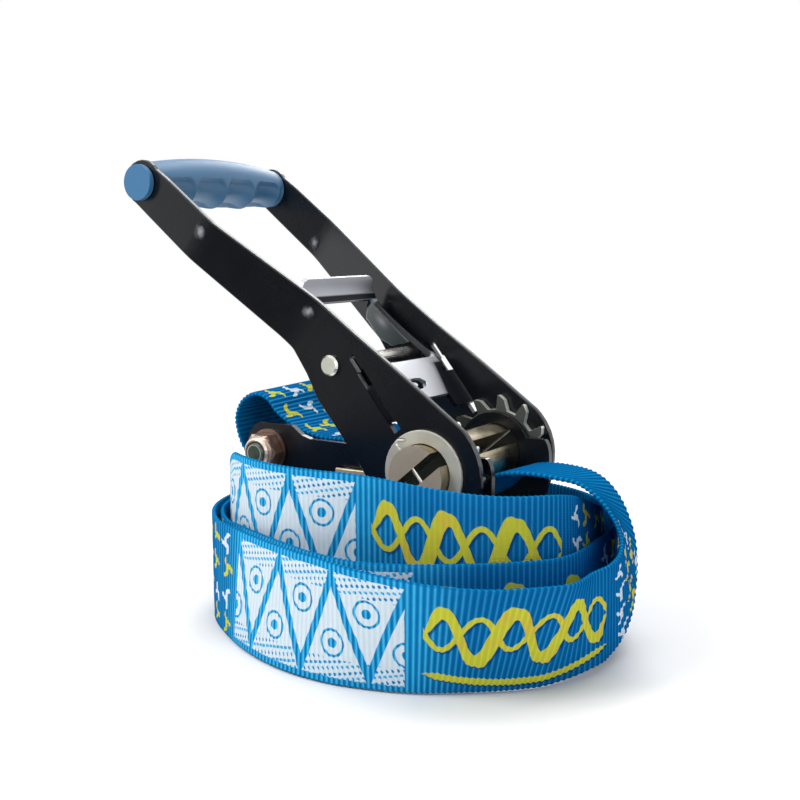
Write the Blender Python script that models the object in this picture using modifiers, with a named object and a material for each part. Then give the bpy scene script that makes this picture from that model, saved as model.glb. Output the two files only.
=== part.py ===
"""A ratchet slackline: the ratchet stands in its own wound webbing.

It is built about the spindle axis, in metres, and then set down centred.
"""
import math

import bmesh
import bpy
from mathutils import Matrix, Vector

MM = 0.001
HALF = 0.5
FULL_TURN = 360.0

# The whole object
SPINDLE_HEIGHT = 73.7 * MM
FIT_GAP = 0.3 * MM
PLATE_T = 3.0 * MM
ROUND_STEPS = 40
SMALL_ROUND_STEPS = 24
EDGE_BEVEL = 0.45 * MM
MERGE = 0.01 * MM
OVERRUN = 1.0 * MM
RIGHT_ANGLE = 90.0
SMOOTH_ANGLE = 35.0

# The webbing sets how far each layer of the stack stands from the middle plane, near and far alike
WEB_WIDTH = 50.0 * MM
WEB_THICK = 2.2 * MM
WEB_Y = WEB_WIDTH * HALF
WEB_CLEAR = 1.7 * MM
LAYER_GAP = 0.5 * MM
FRAME_IN = WEB_Y + WEB_CLEAR
FRAME_OUT = FRAME_IN + PLATE_T
WHEEL_IN = FRAME_OUT + LAYER_GAP
WHEEL_OUT = WHEEL_IN + PLATE_T
ARM_IN = WHEEL_OUT + LAYER_GAP
ARM_OUT = ARM_IN + PLATE_T
WASHER_T = 1.5 * MM
WASHER_IN = ARM_OUT + FIT_GAP
WASHER_OUT = WASHER_IN + WASHER_T
COTTER_GAP = 3.7 * MM
COTTER_Y = WASHER_OUT + COTTER_GAP
SHAFT_PAST = 2.6 * MM
SHAFT_END = COTTER_Y + SHAFT_PAST

# Frame plates: side view about the spindle axis
BOLT_X = -90.0 * MM
BOLT_Z = 1.2 * MM
FRAME_END_R = 14.0 * MM
END_FROM = 235.0
END_TO = 112.0
BUMP_TOP = 13.9 * MM
BUMP_END_X = -77.0 * MM
BUMP_FOOT_X = -71.0 * MM
BUMP_FOOT_Z = 9.7 * MM
FLAT_START_X = -66.0 * MM
FLAT_TOP = 8.3 * MM
LOBE_R = 18.8 * MM
LOBE_FROM = 156.0
LOBE_TO = 25.0
LOBE_STEPS = 10
HORN_X = 28.8 * MM
HORN_TOP = 8.0 * MM
HORN_LOW = -11.0 * MM
HORN_ROUND_X = 3.3 * MM
HORN_ROUND_Z = 8.5 * MM
HORN_STEPS = 6
HEEL_X = 25.6 * MM
HEEL_Z = -21.3 * MM
SOLE_FRONT_X = 16.0 * MM
SOLE_Z = -26.0 * MM
SOLE_BACK_X = -58.0 * MM
END_ARC_STEPS = 8
WEB_T = 2.6 * MM
WEB_FRONT_X = -6.0 * MM
WEB_BACK_X = -54.0 * MM
WEB_BITE = 1.0 * MM
TAB_X = -66.0 * MM
TAB_T = 2.6 * MM
TAB_LOW = -10.0 * MM
TAB_HIGH = 0.5 * MM
BORE_GAP = 0.5 * MM

# Lock pawl: a flat plate in slots of the frame, its ears in the ratchet wheels
LOCK_Z = -4.2 * MM
LOCK_T = 2.4 * MM
LOCK_TIP_X = -21.6 * MM
LOCK_REAR_X = -50.0 * MM
LOCK_EAR_IN = FRAME_OUT + FIT_GAP
LOCK_EAR_OUT = WHEEL_OUT - FIT_GAP
LOCK_NECK_FRONT_X = -31.0 * MM
LOCK_NECK_REAR_X = -46.0 * MM
LOCK_RECESS_X = -35.0 * MM
LOCK_RECESS_Y = WEB_Y + WEB_CLEAR * HALF
LOCK_TRAVEL = 5.0 * MM
LOCK_STEM_HALF = 3.0 * MM

# Spindle: two half-round shafts with the webbing slot between them
SHAFT_R = 13.1 * MM
SLOT_HALF = 3.5 * MM
SLOT_ANGLE = 40.0
SHAFT_ARC_STEPS = 20
TEETH = 12
TOOTH_TIP_R = 26.3 * MM
TOOTH_ROOT_R = 19.7 * MM
TOOTH_BACK_R = 24.6 * MM
TIP_ANGLE = -0.2
FACE_ANGLE = 2.0
LAND_ANGLE = 2.0
BACK_ANGLE = 8.0
ROOT_ANGLE = 15.0
WASHER_R = 19.2 * MM
WASHER_BORE_R = SHAFT_R + FIT_GAP
COTTER_R = 0.9 * MM
COTTER_HOLE_R = 1.2 * MM
COTTER_REACH = 17.0 * MM
COTTER_LEG = 6.0 * MM
COTTER_RISE = 2.0 * MM

# Bolt set
BOLT_R = 5.0 * MM
BOLT_TIP_R = 4.5 * MM
HEX_FLATS_HALF = 8.0 * MM
HEAD_T = 6.4 * MM
BOLT_WASHER_T = 1.2 * MM
BOLT_WASHER_R = 10.0 * MM
NUT_PAST = 0.8 * MM
NUT_HEX_T = 6.6 * MM
NUT_COLLAR_R = 7.0 * MM
NUT_COLLAR_T = 2.6 * MM
CHAMFER = 0.9 * MM
SLEEVE_R = 9.0 * MM
HEX_RING_STEPS = 24

# Handle: u runs along the arm from the spindle, v square to it, both in the side plane
HANDLE_ANGLE = 40.85
ARM_NOSE_R = 27.5 * MM
NOSE_STEPS = 9
NOSE_FIRST_SHARE = 0.35
JOGGLE_START = 90.0 * MM
JOGGLE_END = 150.0 * MM
JOGGLE_OUT = 13.2 * MM
CREASE_STEPS = 6
CREASE = 5.0 * MM
ARM_TOP = ((0.0, 27.5), (21.0, 25.6), (42.0, 23.5), (69.0, 20.5), (90.0, 18.7), (150.0, 12.5), (182.0, 10.6))
ARM_LOW = ((0.0, -27.5), (14.0, -24.6), (30.0, -21.2), (45.0, -18.2), (61.0, -15.6), (73.0, -11.0),
           (86.0, -7.4), (110.0, -7.6), (150.0, -9.3), (182.0, -10.6))
ARM_STATIONS = (7.0, 14.0, 21.0, 30.0, 38.0, 45.0, 53.0, 61.0, 67.0, 73.0, 79.0)
ARM_CHAMFER = 0.55 * MM
GRIP_U = 194.6 * MM
GRIP_V = -0.7 * MM
ARM_TIP_R = 10.6 * MM
TIP_STEPS = 7
TIP_FROM = 105.0
TIP_TO = 8.0
GRIP_START_U = 182.0 * MM
GRIP_HALF_Y = ARM_IN + JOGGLE_OUT - LAYER_GAP
GRIP_ROD_R = 3.0 * MM
GRIP_END_R = 9.6 * MM
GRIP_CROWN = 3.6 * MM
GRIP_DEPTH = 9.0 * MM
GRIP_SCALLOP = 2.6 * MM
FINGERS = 4
GRIP_STATIONS = 40
GRIP_FADE_SHARE = 0.12
CAP_R = 8.4 * MM
CAP_T = 2.8 * MM
CAP_IN = ARM_OUT + JOGGLE_OUT + LAYER_GAP
CAP_OUT = CAP_IN + CAP_T
ROD_U = 65.7 * MM
ROD_V = 1.6 * MM
ROD_R = 3.5 * MM
RIVET_R = 4.7 * MM
RIVET_T = 1.9 * MM

# Release slide: a bent sheet that runs in slots of the arms, in the handle's own u and v
SLIDE_ANGLE = 11.2
SLIDE_T = 2.4 * MM
SLIDE_TIP_R = 27.0 * MM
SLIDE_TRAVEL = 7.0 * MM
SLIDE_EAR_PAST = 0.9 * MM
SLIDE_EAR_OUT = ARM_OUT + SLIDE_EAR_PAST
SLIDE_PLATE_HALF = WEB_Y - 1.0 * MM
SLIDE_SIDE_GAP = 2.6 * MM
SLIDE_HALF = ARM_IN - SLIDE_SIDE_GAP
SLIDE_LEG = 2.4 * MM
SLIDE_SIDE_INSET = 0.2 * MM
SLIDE_WINDOW_HALF = SLIDE_HALF - SLIDE_LEG
SLIDE_WINDOW_FROM = 54.0 * MM
SLIDE_WINDOW_TO = 100.0 * MM
SLIDE_NOTCH_U = 33.4 * MM
SLIDE_NOTCH_HALF = 19.0 * MM
SLIDE_PATH = ((54.0, 9.8), (60.1, 8.8), (70.7, 7.6), (83.2, 6.6), (92.8, 6.4), (99.6, 7.6), (103.6, 10.9),
              (106.6, 16.2))
SLIDE_CORNER = 5.0 * MM
# The turned-down sides, in u and v: over the cross rod, then down towards the palm
SLIDE_SIDE = ((51.0, 7.0), (69.8, 6.2), (71.4, 1.5), (76.5, -3.6), (84.0, -5.0), (95.0, -3.0), (101.0, 5.0),
              (103.4, 10.4), (99.6, 7.8), (92.8, 6.6), (83.2, 6.8), (70.7, 7.8), (60.1, 9.0), (51.0, 9.8))
SLOT_WIDE_HALF = 2.0 * MM
SLOT_FROM = 22.0 * MM
SLOT_STEP = 54.0 * MM
SLIDE_EAR_END = SLOT_STEP - SLIDE_TRAVEL - FIT_GAP - FIT_GAP
SLOT_TO = 62.0 * MM
SLOT_NARROW_HALF = 1.3 * MM

# Springs
WIRE_R = 0.5 * MM
COIL_R = 2.2 * MM
SPRING_TURNS = 5
SPRING_STEPS = 10
SPRING_GAP = 0.5 * MM
RELEASE_SPRING_V = 2.6 * MM
RELEASE_SPRING_FROM = 43.0 * MM
RELEASE_SPRING_TO = 60.8 * MM
RELEASE_HOOK_U = 43.0 * MM
RELEASE_HOOK_V = 6.2 * MM

# Webbing
TURN_STEPS = 60
ARCH_STEPS = 3
END_GAP = 0.8 * MM
RING_CX = -21.0 * MM
RING_CY = -20.0 * MM
RING_R = 90.0 * MM
# Radius of the ring as a share of RING_R, every 15 degrees, from the +X side round by the back
RING_SHARES = (1.097, 1.106, 1.106, 1.044, 0.978, 0.933, 0.911, 0.922, 0.956, 1.006, 1.056, 1.083,
               1.078, 1.031, 0.960, 0.896, 0.871, 0.873, 0.893, 0.920, 0.947, 0.973, 1.036, 1.109)
START_ANGLE = -26.0
TURNS = 2.53
LAYER_STEP = 4.2 * MM
UPPER_STEP = 4.8 * MM
START_OUTSET = 1.5 * MM
UPPER_INSET = 17.0 * MM
START_LEAN_SHARE = 0.38
FRONT_LEAN_SHARE = 0.12
RIGHT_LEAN_SHARE = 0.08
BACK_LIFT = 6.0 * MM
FOLD_LIFT = 18.5 * MM
FRONT_LIFT = 5.5 * MM
LEFT_DROP = 21.0 * MM
# Where each of these comes in and goes out, in turns, and about which direction, in degrees
LAYER_TURNS = (0.72, 0.98)
UPPER_TURNS = (1.70, 1.88)
INSET_TURNS = (1.99, 2.115)
OUTSET_TURNS = (2.115, 2.335)
BACK_TURNS = (1.5, 1.78)
FOLD_TURNS = (1.84, 1.99)
FRONT_TURNS = (1.99, 2.17)
DROP_TURNS = (2.325, 2.415)
FRONT_LEAN_TURNS = 1.9
RIGHT_LEAN_TURNS = 0.5
OUTSET_ANGLES = (50.0, 70.0)
LEAN_ANGLES = (38.0, 88.0)
FRONT_ANGLE = -107.0
FRONT_SPREAD = 34.6
RIGHT_SIDE_ANGLE = 12.0
RIGHT_SPREAD = 32.0
LEAST_GAP = 0.4 * MM
GAP_SPANS = 4


def clear_scene():
    """Take out whatever the file started with."""
    for thing in list(bpy.data.objects):
        bpy.data.objects.remove(thing, do_unlink=True)


def smooth_step(low, high, value):
    """0 up to low, 1 from high on, and an S curve between."""
    share = min(max((value - low) / (high - low), 0.0), 1.0)
    return share * share * (3.0 - 2.0 * share)


def circle(radius, steps, cx=0.0, cz=0.0):
    """Points of a full circle in the side plane."""
    turn = [math.tau * i / steps for i in range(steps)]
    return [(cx + radius * math.cos(a), cz + radius * math.sin(a)) for a in turn]


def arc(radius, start, end, steps, cx=0.0, cz=0.0):
    """Points along an arc in the side plane, angles in degrees from +X."""
    turn = [math.radians(start + (end - start) * i / steps) for i in range(steps + 1)]
    return [(cx + radius * math.cos(a), cz + radius * math.sin(a)) for a in turn]


def handle_point(u, v):
    """A point of the handle's own u, v plane, in the side plane."""
    a = math.radians(HANDLE_ANGLE)
    return (-u * math.cos(a) + v * math.sin(a), u * math.sin(a) + v * math.cos(a))


def between(table, value):
    """Straight-line reading of an edge written as (along, across) pairs in millimetres."""
    for (low, first), (high, second) in zip(table, table[1:]):
        if value <= high * MM:
            share = (value - low * MM) / ((high - low) * MM)
            return (first + (second - first) * share) * MM
    return table[-1][1] * MM


def material(name, colour, roughness, metallic):
    """A plain Principled material."""
    made = bpy.data.materials.new(name)
    made.use_nodes = True
    shader = made.node_tree.nodes["Principled BSDF"]
    shader.inputs["Base Color"].default_value = (*colour, 1.0)
    shader.inputs["Roughness"].default_value = roughness
    shader.inputs["Metallic"].default_value = metallic
    made.diffuse_color = (*colour, 1.0)
    return made


BLACK = (0.012, 0.012, 0.018)
ZINC = (0.58, 0.53, 0.42)
CREAM = (0.62, 0.60, 0.55)
STEEL = (0.35, 0.35, 0.37)
BLUE = (0.02, 0.20, 0.48)
GRIP_BLUE = (0.05, 0.20, 0.42)
LOOKS = {
    "frame": (BLACK, 0.35, 0.6),
    "bolt": (STEEL, 0.35, 1.0),
    "bolt_washer": (CREAM, 0.35, 1.0),
    "lock_nut": (ZINC, 0.35, 1.0),
    "spacer_sleeve": (STEEL, 0.4, 1.0),
    "spindle_half_upper": (ZINC, 0.3, 1.0),
    "spindle_half_lower": (ZINC, 0.3, 1.0),
    "ratchet_wheel_near": (ZINC, 0.35, 1.0),
    "ratchet_wheel_far": (ZINC, 0.35, 1.0),
    "retaining_washer_near": (CREAM, 0.3, 1.0),
    "retaining_washer_far": (CREAM, 0.3, 1.0),
    "cotter_pin_near": (CREAM, 0.3, 1.0),
    "cotter_pin_far": (CREAM, 0.3, 1.0),
    "handle_arm_near": (BLACK, 0.3, 0.6),
    "handle_arm_far": (BLACK, 0.3, 0.6),
    "cross_rod": (CREAM, 0.25, 1.0),
    "grip_rod": (STEEL, 0.35, 1.0),
    "grip": (GRIP_BLUE, 0.5, 0.0),
    "end_cap_near": (GRIP_BLUE, 0.45, 0.0),
    "end_cap_far": (GRIP_BLUE, 0.45, 0.0),
    "release_slide": (STEEL, 0.35, 0.9),
    "release_spring": (CREAM, 0.25, 1.0),
    "lock_pawl": (ZINC, 0.35, 1.0),
    "lock_spring": (CREAM, 0.3, 1.0),
    "webbing_eye": (BLUE, 0.75, 0.0),
    "webbing_arch": (BLUE, 0.75, 0.0),
    "webbing_winding": (BLUE, 0.75, 0.0),
}

clear_scene()
PARTS = bpy.data.collections.new("slackline")
CUTTERS = bpy.data.collections.new("cutters")
bpy.context.scene.collection.children.link(PARTS)
bpy.context.scene.collection.children.link(CUTTERS)
CUTTERS.hide_render = True


def pivot(name, parent=None):
    """An empty on an axis, which the pieces that turn or slide about it hang from."""
    empty = bpy.data.objects.new(name, None)
    PARTS.objects.link(empty)
    empty.parent = parent
    return empty


ROOT = pivot("slackline_root")
HANDLE_PIVOT = pivot("handle_pivot", ROOT)
SPINDLE_PIVOT = pivot("spindle_pivot", ROOT)
SLIDE_TRACK = pivot("release_slide_track", HANDLE_PIVOT)
LOCK_TRACK = pivot("lock_pawl_track", ROOT)


def place(name, mesh, parent=None):
    """A piece of the object, with its own material, smooth where it is round."""
    mesh.name = name
    mesh.polygons.foreach_set("use_smooth", [True] * len(mesh.polygons))
    mesh.set_sharp_from_angle(angle=math.radians(SMOOTH_ANGLE))
    colour, roughness, metallic = LOOKS[name]
    mesh.materials.append(material(name, colour, roughness, metallic))
    thing = bpy.data.objects.new(name, mesh)
    PARTS.objects.link(thing)
    thing.parent = parent or ROOT
    return thing


def cutter(name, mesh):
    """A hidden tool that a Boolean takes away, or keeps the inside of."""
    thing = bpy.data.objects.new(name, mesh)
    CUTTERS.objects.link(thing)
    thing.parent = ROOT
    thing.hide_render = True
    thing.display_type = "WIRE"
    return thing


def join_with(thing, tool, operation):
    """One exact Boolean."""
    step = thing.modifiers.new(tool.name, "BOOLEAN")
    step.operation = operation
    step.solver = "EXACT"
    step.object = tool


def soften(thing, width=EDGE_BEVEL):
    """A small chamfer on the sharp edges."""
    step = thing.modifiers.new("edges", "BEVEL")
    step.width = width
    step.segments = 1
    step.limit_method = "ANGLE"
    step.angle_limit = math.radians(SMOOTH_ANGLE)


def outline_mesh(outline, low, high, holes=()):
    """An outline in the side plane carried along Y from low to high, its two caps filled."""
    curve = bpy.data.curves.new("outline", "CURVE")
    curve.dimensions = "2D"
    curve.fill_mode = "BOTH"
    curve.extrude = (high - low) * HALF
    for loop in (outline, *holes):
        spline = curve.splines.new("POLY")
        spline.points.add(len(loop) - 1)
        for point, (x, z) in zip(spline.points, loop):
            point.co = (x, z, 0.0, 1.0)
        spline.use_cyclic_u = True
    holder = bpy.data.objects.new("outline", curve)
    mesh = bpy.data.meshes.new_from_object(holder)
    bpy.data.objects.remove(holder)
    mesh.transform(Matrix.Rotation(math.radians(RIGHT_ANGLE), 4, "X"))
    mesh.transform(Matrix.Translation((0.0, (low + high) * HALF, 0.0)))
    return welded(mesh)


def welded(mesh):
    """Merge the vertices that the caps share with the walls, and turn every face outward."""
    work = bmesh.new()
    work.from_mesh(mesh)
    bmesh.ops.remove_doubles(work, verts=work.verts, dist=MERGE)
    bmesh.ops.recalc_face_normals(work, faces=work.faces)
    work.to_mesh(mesh)
    work.free()
    return mesh


def loft_mesh(rings, bored=False):
    """Faces between rings of equal count, closed by end caps or, when bored, back on to the first ring."""
    count = len(rings[0])
    points = [p for ring in rings for p in ring]
    faces = []
    spans = len(rings) if bored else len(rings) - 1
    for i in range(spans):
        first = i * count
        second = ((i + 1) % len(rings)) * count
        for j in range(count):
            k = (j + 1) % count
            faces.append((first + j, first + k, second + k, second + j))
    if not bored:
        faces.append(tuple(range(count)))
        faces.append(tuple(range((len(rings) - 1) * count, len(rings) * count)))
    mesh = bpy.data.meshes.new("loft")
    mesh.from_pydata(points, [], faces)
    return welded(mesh)


def ring_at(y, radius, steps=SMALL_ROUND_STEPS, cx=0.0, cz=0.0):
    """A round ring square to Y."""
    return [(x, y, z) for x, z in circle(radius, steps, cx, cz)]


def hex_ring(y, flats_half, cx=0.0, cz=0.0):
    """A hexagon sampled at the same angles as a round ring, so that the two can be lofted together."""
    points = []
    sector = math.tau / 6
    for i in range(HEX_RING_STEPS):
        a = math.tau * i / HEX_RING_STEPS
        off = (a % sector) - sector * HALF
        r = flats_half / math.cos(off)
        points.append((cx + r * math.cos(a), y, cz + r * math.sin(a)))
    return points


def coil_mesh(start, end, coil_r, turns, hook=None):
    """A round wire wound about the line from start to end, its ends capped; a hook may come first."""
    axis = (end - start).normalized()
    side = axis.cross(Vector((0.0, 1.0, 0.0))).normalized()
    other = axis.cross(side)
    curve = bpy.data.curves.new("coil", "CURVE")
    curve.dimensions = "3D"
    curve.bevel_depth = WIRE_R
    curve.bevel_resolution = 1
    curve.use_fill_caps = True
    steps = turns * SPRING_STEPS
    path = [hook] if hook else []
    for i in range(steps + 1):
        a = math.tau * i / SPRING_STEPS
        path.append(start + (end - start) * (i / steps) + (side * math.cos(a) + other * math.sin(a)) * coil_r)
    spline = curve.splines.new("POLY")
    spline.points.add(len(path) - 1)
    for point, at in zip(spline.points, path):
        point.co = (*at, 1.0)
    holder = bpy.data.objects.new("coil", curve)
    mesh = bpy.data.meshes.new_from_object(holder)
    bpy.data.objects.remove(holder)
    return welded(mesh)


def wire_mesh(points, radius):
    """A round wire along points, its ends capped."""
    curve = bpy.data.curves.new("wire", "CURVE")
    curve.dimensions = "3D"
    curve.bevel_depth = radius
    curve.bevel_resolution = 2
    curve.use_fill_caps = True
    spline = curve.splines.new("POLY")
    spline.points.add(len(points) - 1)
    for point, at in zip(spline.points, points):
        point.co = (*at, 1.0)
    holder = bpy.data.objects.new("wire", curve)
    mesh = bpy.data.meshes.new_from_object(holder)
    bpy.data.objects.remove(holder)
    return welded(mesh)


def both_sides(near_low, near_high):
    """The same layer on the near side (-Y) and on the far side (+Y)."""
    return (("near", -near_high, -near_low), ("far", near_low, near_high))


def frame_outline():
    """Side view of a frame plate, clockwise from the bolt end's top."""
    end = arc(FRAME_END_R, END_FROM, END_TO, END_ARC_STEPS, BOLT_X, BOLT_Z)
    points = [*end, (BOLT_X, BUMP_TOP), (BUMP_END_X, BUMP_TOP)]
    points += [(BUMP_FOOT_X, BUMP_FOOT_Z), (FLAT_START_X, FLAT_TOP)]
    points += arc(LOBE_R, LOBE_FROM, LOBE_TO, LOBE_STEPS)
    for i in range(HORN_STEPS + 1):
        a = math.radians(RIGHT_ANGLE * (1.0 - i / HORN_STEPS))
        x = HORN_X - HORN_ROUND_X * (1.0 - math.cos(a))
        points.append((x, HORN_TOP - HORN_ROUND_Z * (1.0 - math.sin(a))))
    points += [(HORN_X, HORN_LOW), (HEEL_X, HEEL_Z), (SOLE_FRONT_X, SOLE_Z), (SOLE_BACK_X, SOLE_Z)]
    return points


def build_frame():
    """Two side plates, the web that joins them under the webbing, and the tab behind the lock spring."""
    low = LOCK_Z - LOCK_T * HALF - FIT_GAP
    high = LOCK_Z + LOCK_T * HALF + FIT_GAP
    rear = LOCK_NECK_REAR_X - LOCK_TRAVEL - FIT_GAP
    front = LOCK_NECK_FRONT_X + FIT_GAP
    slot = [(rear, low), (front, low), (front, high), (rear, high)]
    bolt_hole = circle(BOLT_R + FIT_GAP, SMALL_ROUND_STEPS, BOLT_X, BOLT_Z)
    holes = (circle(SHAFT_R + BORE_GAP, ROUND_STEPS), bolt_hole, slot)
    near = outline_mesh(frame_outline(), -FRAME_OUT, -FRAME_IN, holes)
    thing = place("frame", near)
    far = cutter("far_plate", outline_mesh(frame_outline(), FRAME_IN, FRAME_OUT, holes))
    web_low = SOLE_Z - WEB_BITE * HALF
    web_high = web_low + WEB_T
    web = [(WEB_BACK_X, web_low), (WEB_FRONT_X, web_low), (WEB_FRONT_X, web_high), (WEB_BACK_X, web_high)]
    tie = cutter("frame_web", outline_mesh(web, -FRAME_IN - WEB_BITE, FRAME_IN + WEB_BITE))
    tab = [(TAB_X - TAB_T, TAB_LOW), (TAB_X, TAB_LOW), (TAB_X, TAB_HIGH), (TAB_X - TAB_T, TAB_HIGH)]
    back = cutter("spring_tab", outline_mesh(tab, -FRAME_IN - WEB_BITE, FRAME_IN + WEB_BITE))
    for tool in (tie, far, back):
        join_with(thing, tool, "UNION")
    soften(thing)


def build_lock():
    """The lock pawl and the spring behind it."""
    half = [(LOCK_RECESS_X, LOCK_RECESS_Y - LOCK_STEM_HALF), (LOCK_NECK_FRONT_X, LOCK_RECESS_Y),
            (LOCK_NECK_FRONT_X, LOCK_EAR_IN), (LOCK_TIP_X, LOCK_EAR_IN), (LOCK_TIP_X, LOCK_EAR_OUT),
            (LOCK_REAR_X, LOCK_EAR_OUT), (LOCK_REAR_X, LOCK_EAR_IN), (LOCK_NECK_REAR_X, LOCK_EAR_IN),
            (LOCK_NECK_REAR_X, LOCK_RECESS_Y)]
    outline = half + [(x, -y) for x, y in reversed(half)]
    mesh = outline_mesh(outline, -LOCK_T * HALF, LOCK_T * HALF)
    mesh.transform(Matrix.Rotation(math.radians(-RIGHT_ANGLE), 4, "X"))
    mesh.transform(Matrix.Translation((0.0, 0.0, LOCK_Z)))
    soften(place("lock_pawl", mesh, LOCK_TRACK))
    start = Vector((TAB_X + SPRING_GAP + WIRE_R, 0.0, LOCK_Z))
    end = Vector((LOCK_NECK_REAR_X - SPRING_GAP - WIRE_R, 0.0, LOCK_Z))
    place("lock_spring", coil_mesh(start, end, COIL_R, SPRING_TURNS))


def half_moon(radius, chord, facing):
    """A round cut by a chord, on the side that faces the angle given."""
    reach = math.degrees(math.acos(chord / radius))
    return arc(radius, facing - reach, facing + reach, SHAFT_ARC_STEPS)


def wheel_outline():
    """The teeth, each a steep face, a narrow land and a back that falls away; angles run from -X upward."""
    points = []
    pitch = FULL_TURN / TEETH
    for i in range(TEETH):
        tip = TIP_ANGLE + pitch * i
        for off, radius in ((-FACE_ANGLE, TOOTH_ROOT_R), (0.0, TOOTH_TIP_R), (LAND_ANGLE, TOOTH_TIP_R),
                            (BACK_ANGLE, TOOTH_BACK_R), (ROOT_ANGLE, TOOTH_ROOT_R)):
            a = math.radians(tip + off)
            points.append((-radius * math.cos(a), radius * math.sin(a)))
    return points


def build_spindle():
    """The two shafts, the wheels keyed on to them, the retaining washers and the cotter pins."""
    across = SLOT_ANGLE + RIGHT_ANGLE
    behind = across - FULL_TURN * HALF
    line = Vector((math.cos(math.radians(across)), 0.0, math.sin(math.radians(across))))
    drills = []
    for side, sign in (("near", -1), ("far", 1)):
        drill = outline_mesh(circle(COTTER_HOLE_R, SMALL_ROUND_STEPS), -WASHER_R, WASHER_R)
        drill.transform(Matrix.Rotation(math.radians(RIGHT_ANGLE), 4, "X"))
        drill.transform(Matrix.Rotation(math.radians(RIGHT_ANGLE - across), 4, "Y"))
        drill.transform(Matrix.Translation((0.0, sign * COTTER_Y, 0.0)))
        drills.append(cutter("cotter_drill_" + side, drill))
    for name, facing in (("spindle_half_upper", across), ("spindle_half_lower", behind)):
        mesh = outline_mesh(half_moon(SHAFT_R, SLOT_HALF, facing), -SHAFT_END, SHAFT_END)
        shaft = place(name, mesh, SPINDLE_PIVOT)
        for drill in drills:
            join_with(shaft, drill, "DIFFERENCE")
    key = SLOT_HALF - FIT_GAP
    seats = [half_moon(SHAFT_R + FIT_GAP, key, facing) for facing in (across, behind)]
    for side, low, high in both_sides(WHEEL_IN, WHEEL_OUT):
        soften(place("ratchet_wheel_" + side, outline_mesh(wheel_outline(), low, high, seats), SPINDLE_PIVOT))
    for side, low, high in both_sides(WASHER_IN, WASHER_OUT):
        ring = outline_mesh(circle(WASHER_R, ROUND_STEPS), low, high, (circle(WASHER_BORE_R, ROUND_STEPS),))
        soften(place("retaining_washer_" + side, ring, SPINDLE_PIVOT))
    leg = Vector((line.z, 0.0, -line.x))
    for side, sign in (("near", -1), ("far", 1)):
        centre = Vector((0.0, sign * COTTER_Y, 0.0))
        out = Vector((0.0, sign * COTTER_RISE, 0.0))
        tip = centre + line * COTTER_REACH
        tail = centre - line * COTTER_REACH
        path = [tail + leg * COTTER_RISE + out, tail, tip, tip + leg * COTTER_LEG * HALF + out * HALF,
                tip + leg * COTTER_LEG - line * COTTER_RISE + out]
        place("cotter_pin_" + side, wire_mesh(path, COTTER_R), SPINDLE_PIVOT)


def build_bolt():
    """The bolt through the frame's tail, its washer and lock nut, and the sleeve inside the webbing."""
    head_in = FRAME_OUT + FIT_GAP
    head_out = head_in + HEAD_T
    near_end = FRAME_OUT + FIT_GAP + BOLT_WASHER_T + FIT_GAP + NUT_HEX_T + NUT_COLLAR_T + NUT_PAST
    at = (BOLT_X, BOLT_Z)
    rings = [hex_ring(head_out, HEX_FLATS_HALF - CHAMFER, *at),
             hex_ring(head_out - CHAMFER, HEX_FLATS_HALF, *at),
             hex_ring(head_in, HEX_FLATS_HALF, *at),
             ring_at(head_in, BOLT_R, HEX_RING_STEPS, *at),
             ring_at(-near_end + CHAMFER, BOLT_R, HEX_RING_STEPS, *at),
             ring_at(-near_end, BOLT_TIP_R, HEX_RING_STEPS, *at)]
    place("bolt", loft_mesh(rings))
    bore = BOLT_R + FIT_GAP
    washer_in = FRAME_OUT + FIT_GAP
    washer_out = washer_in + BOLT_WASHER_T
    hole = (circle(bore, SMALL_ROUND_STEPS, *at),)
    place("bolt_washer", outline_mesh(circle(BOLT_WASHER_R, ROUND_STEPS, *at), -washer_out, -washer_in, hole))
    nut_in = washer_out + FIT_GAP
    nut_mid = nut_in + NUT_HEX_T
    nut_out = nut_mid + NUT_COLLAR_T
    rings = [hex_ring(-nut_in, HEX_FLATS_HALF, *at), hex_ring(-nut_mid + CHAMFER, HEX_FLATS_HALF, *at),
             ring_at(-nut_mid, HEX_FLATS_HALF, HEX_RING_STEPS, *at),
             ring_at(-nut_mid, NUT_COLLAR_R, HEX_RING_STEPS, *at),
             ring_at(-nut_out + CHAMFER, NUT_COLLAR_R, HEX_RING_STEPS, *at),
             ring_at(-nut_out, NUT_COLLAR_R - CHAMFER, HEX_RING_STEPS, *at),
             ring_at(-nut_out, bore, HEX_RING_STEPS, *at), ring_at(-nut_in, bore, HEX_RING_STEPS, *at)]
    place("lock_nut", loft_mesh(rings, bored=True))
    inner = FRAME_IN - FIT_GAP
    place("spacer_sleeve", outline_mesh(circle(SLEEVE_R, ROUND_STEPS, *at), -inner, inner, hole))


def joggle(u):
    """How far the arm has stepped outward at u: a straight ramp, rounded a little at its two creases."""
    slope = JOGGLE_OUT / (JOGGLE_END - JOGGLE_START)
    rise = slope * (math.hypot(u - JOGGLE_START, CREASE) - math.hypot(u - JOGGLE_END, CREASE)) * HALF
    return rise + JOGGLE_OUT * HALF


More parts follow.
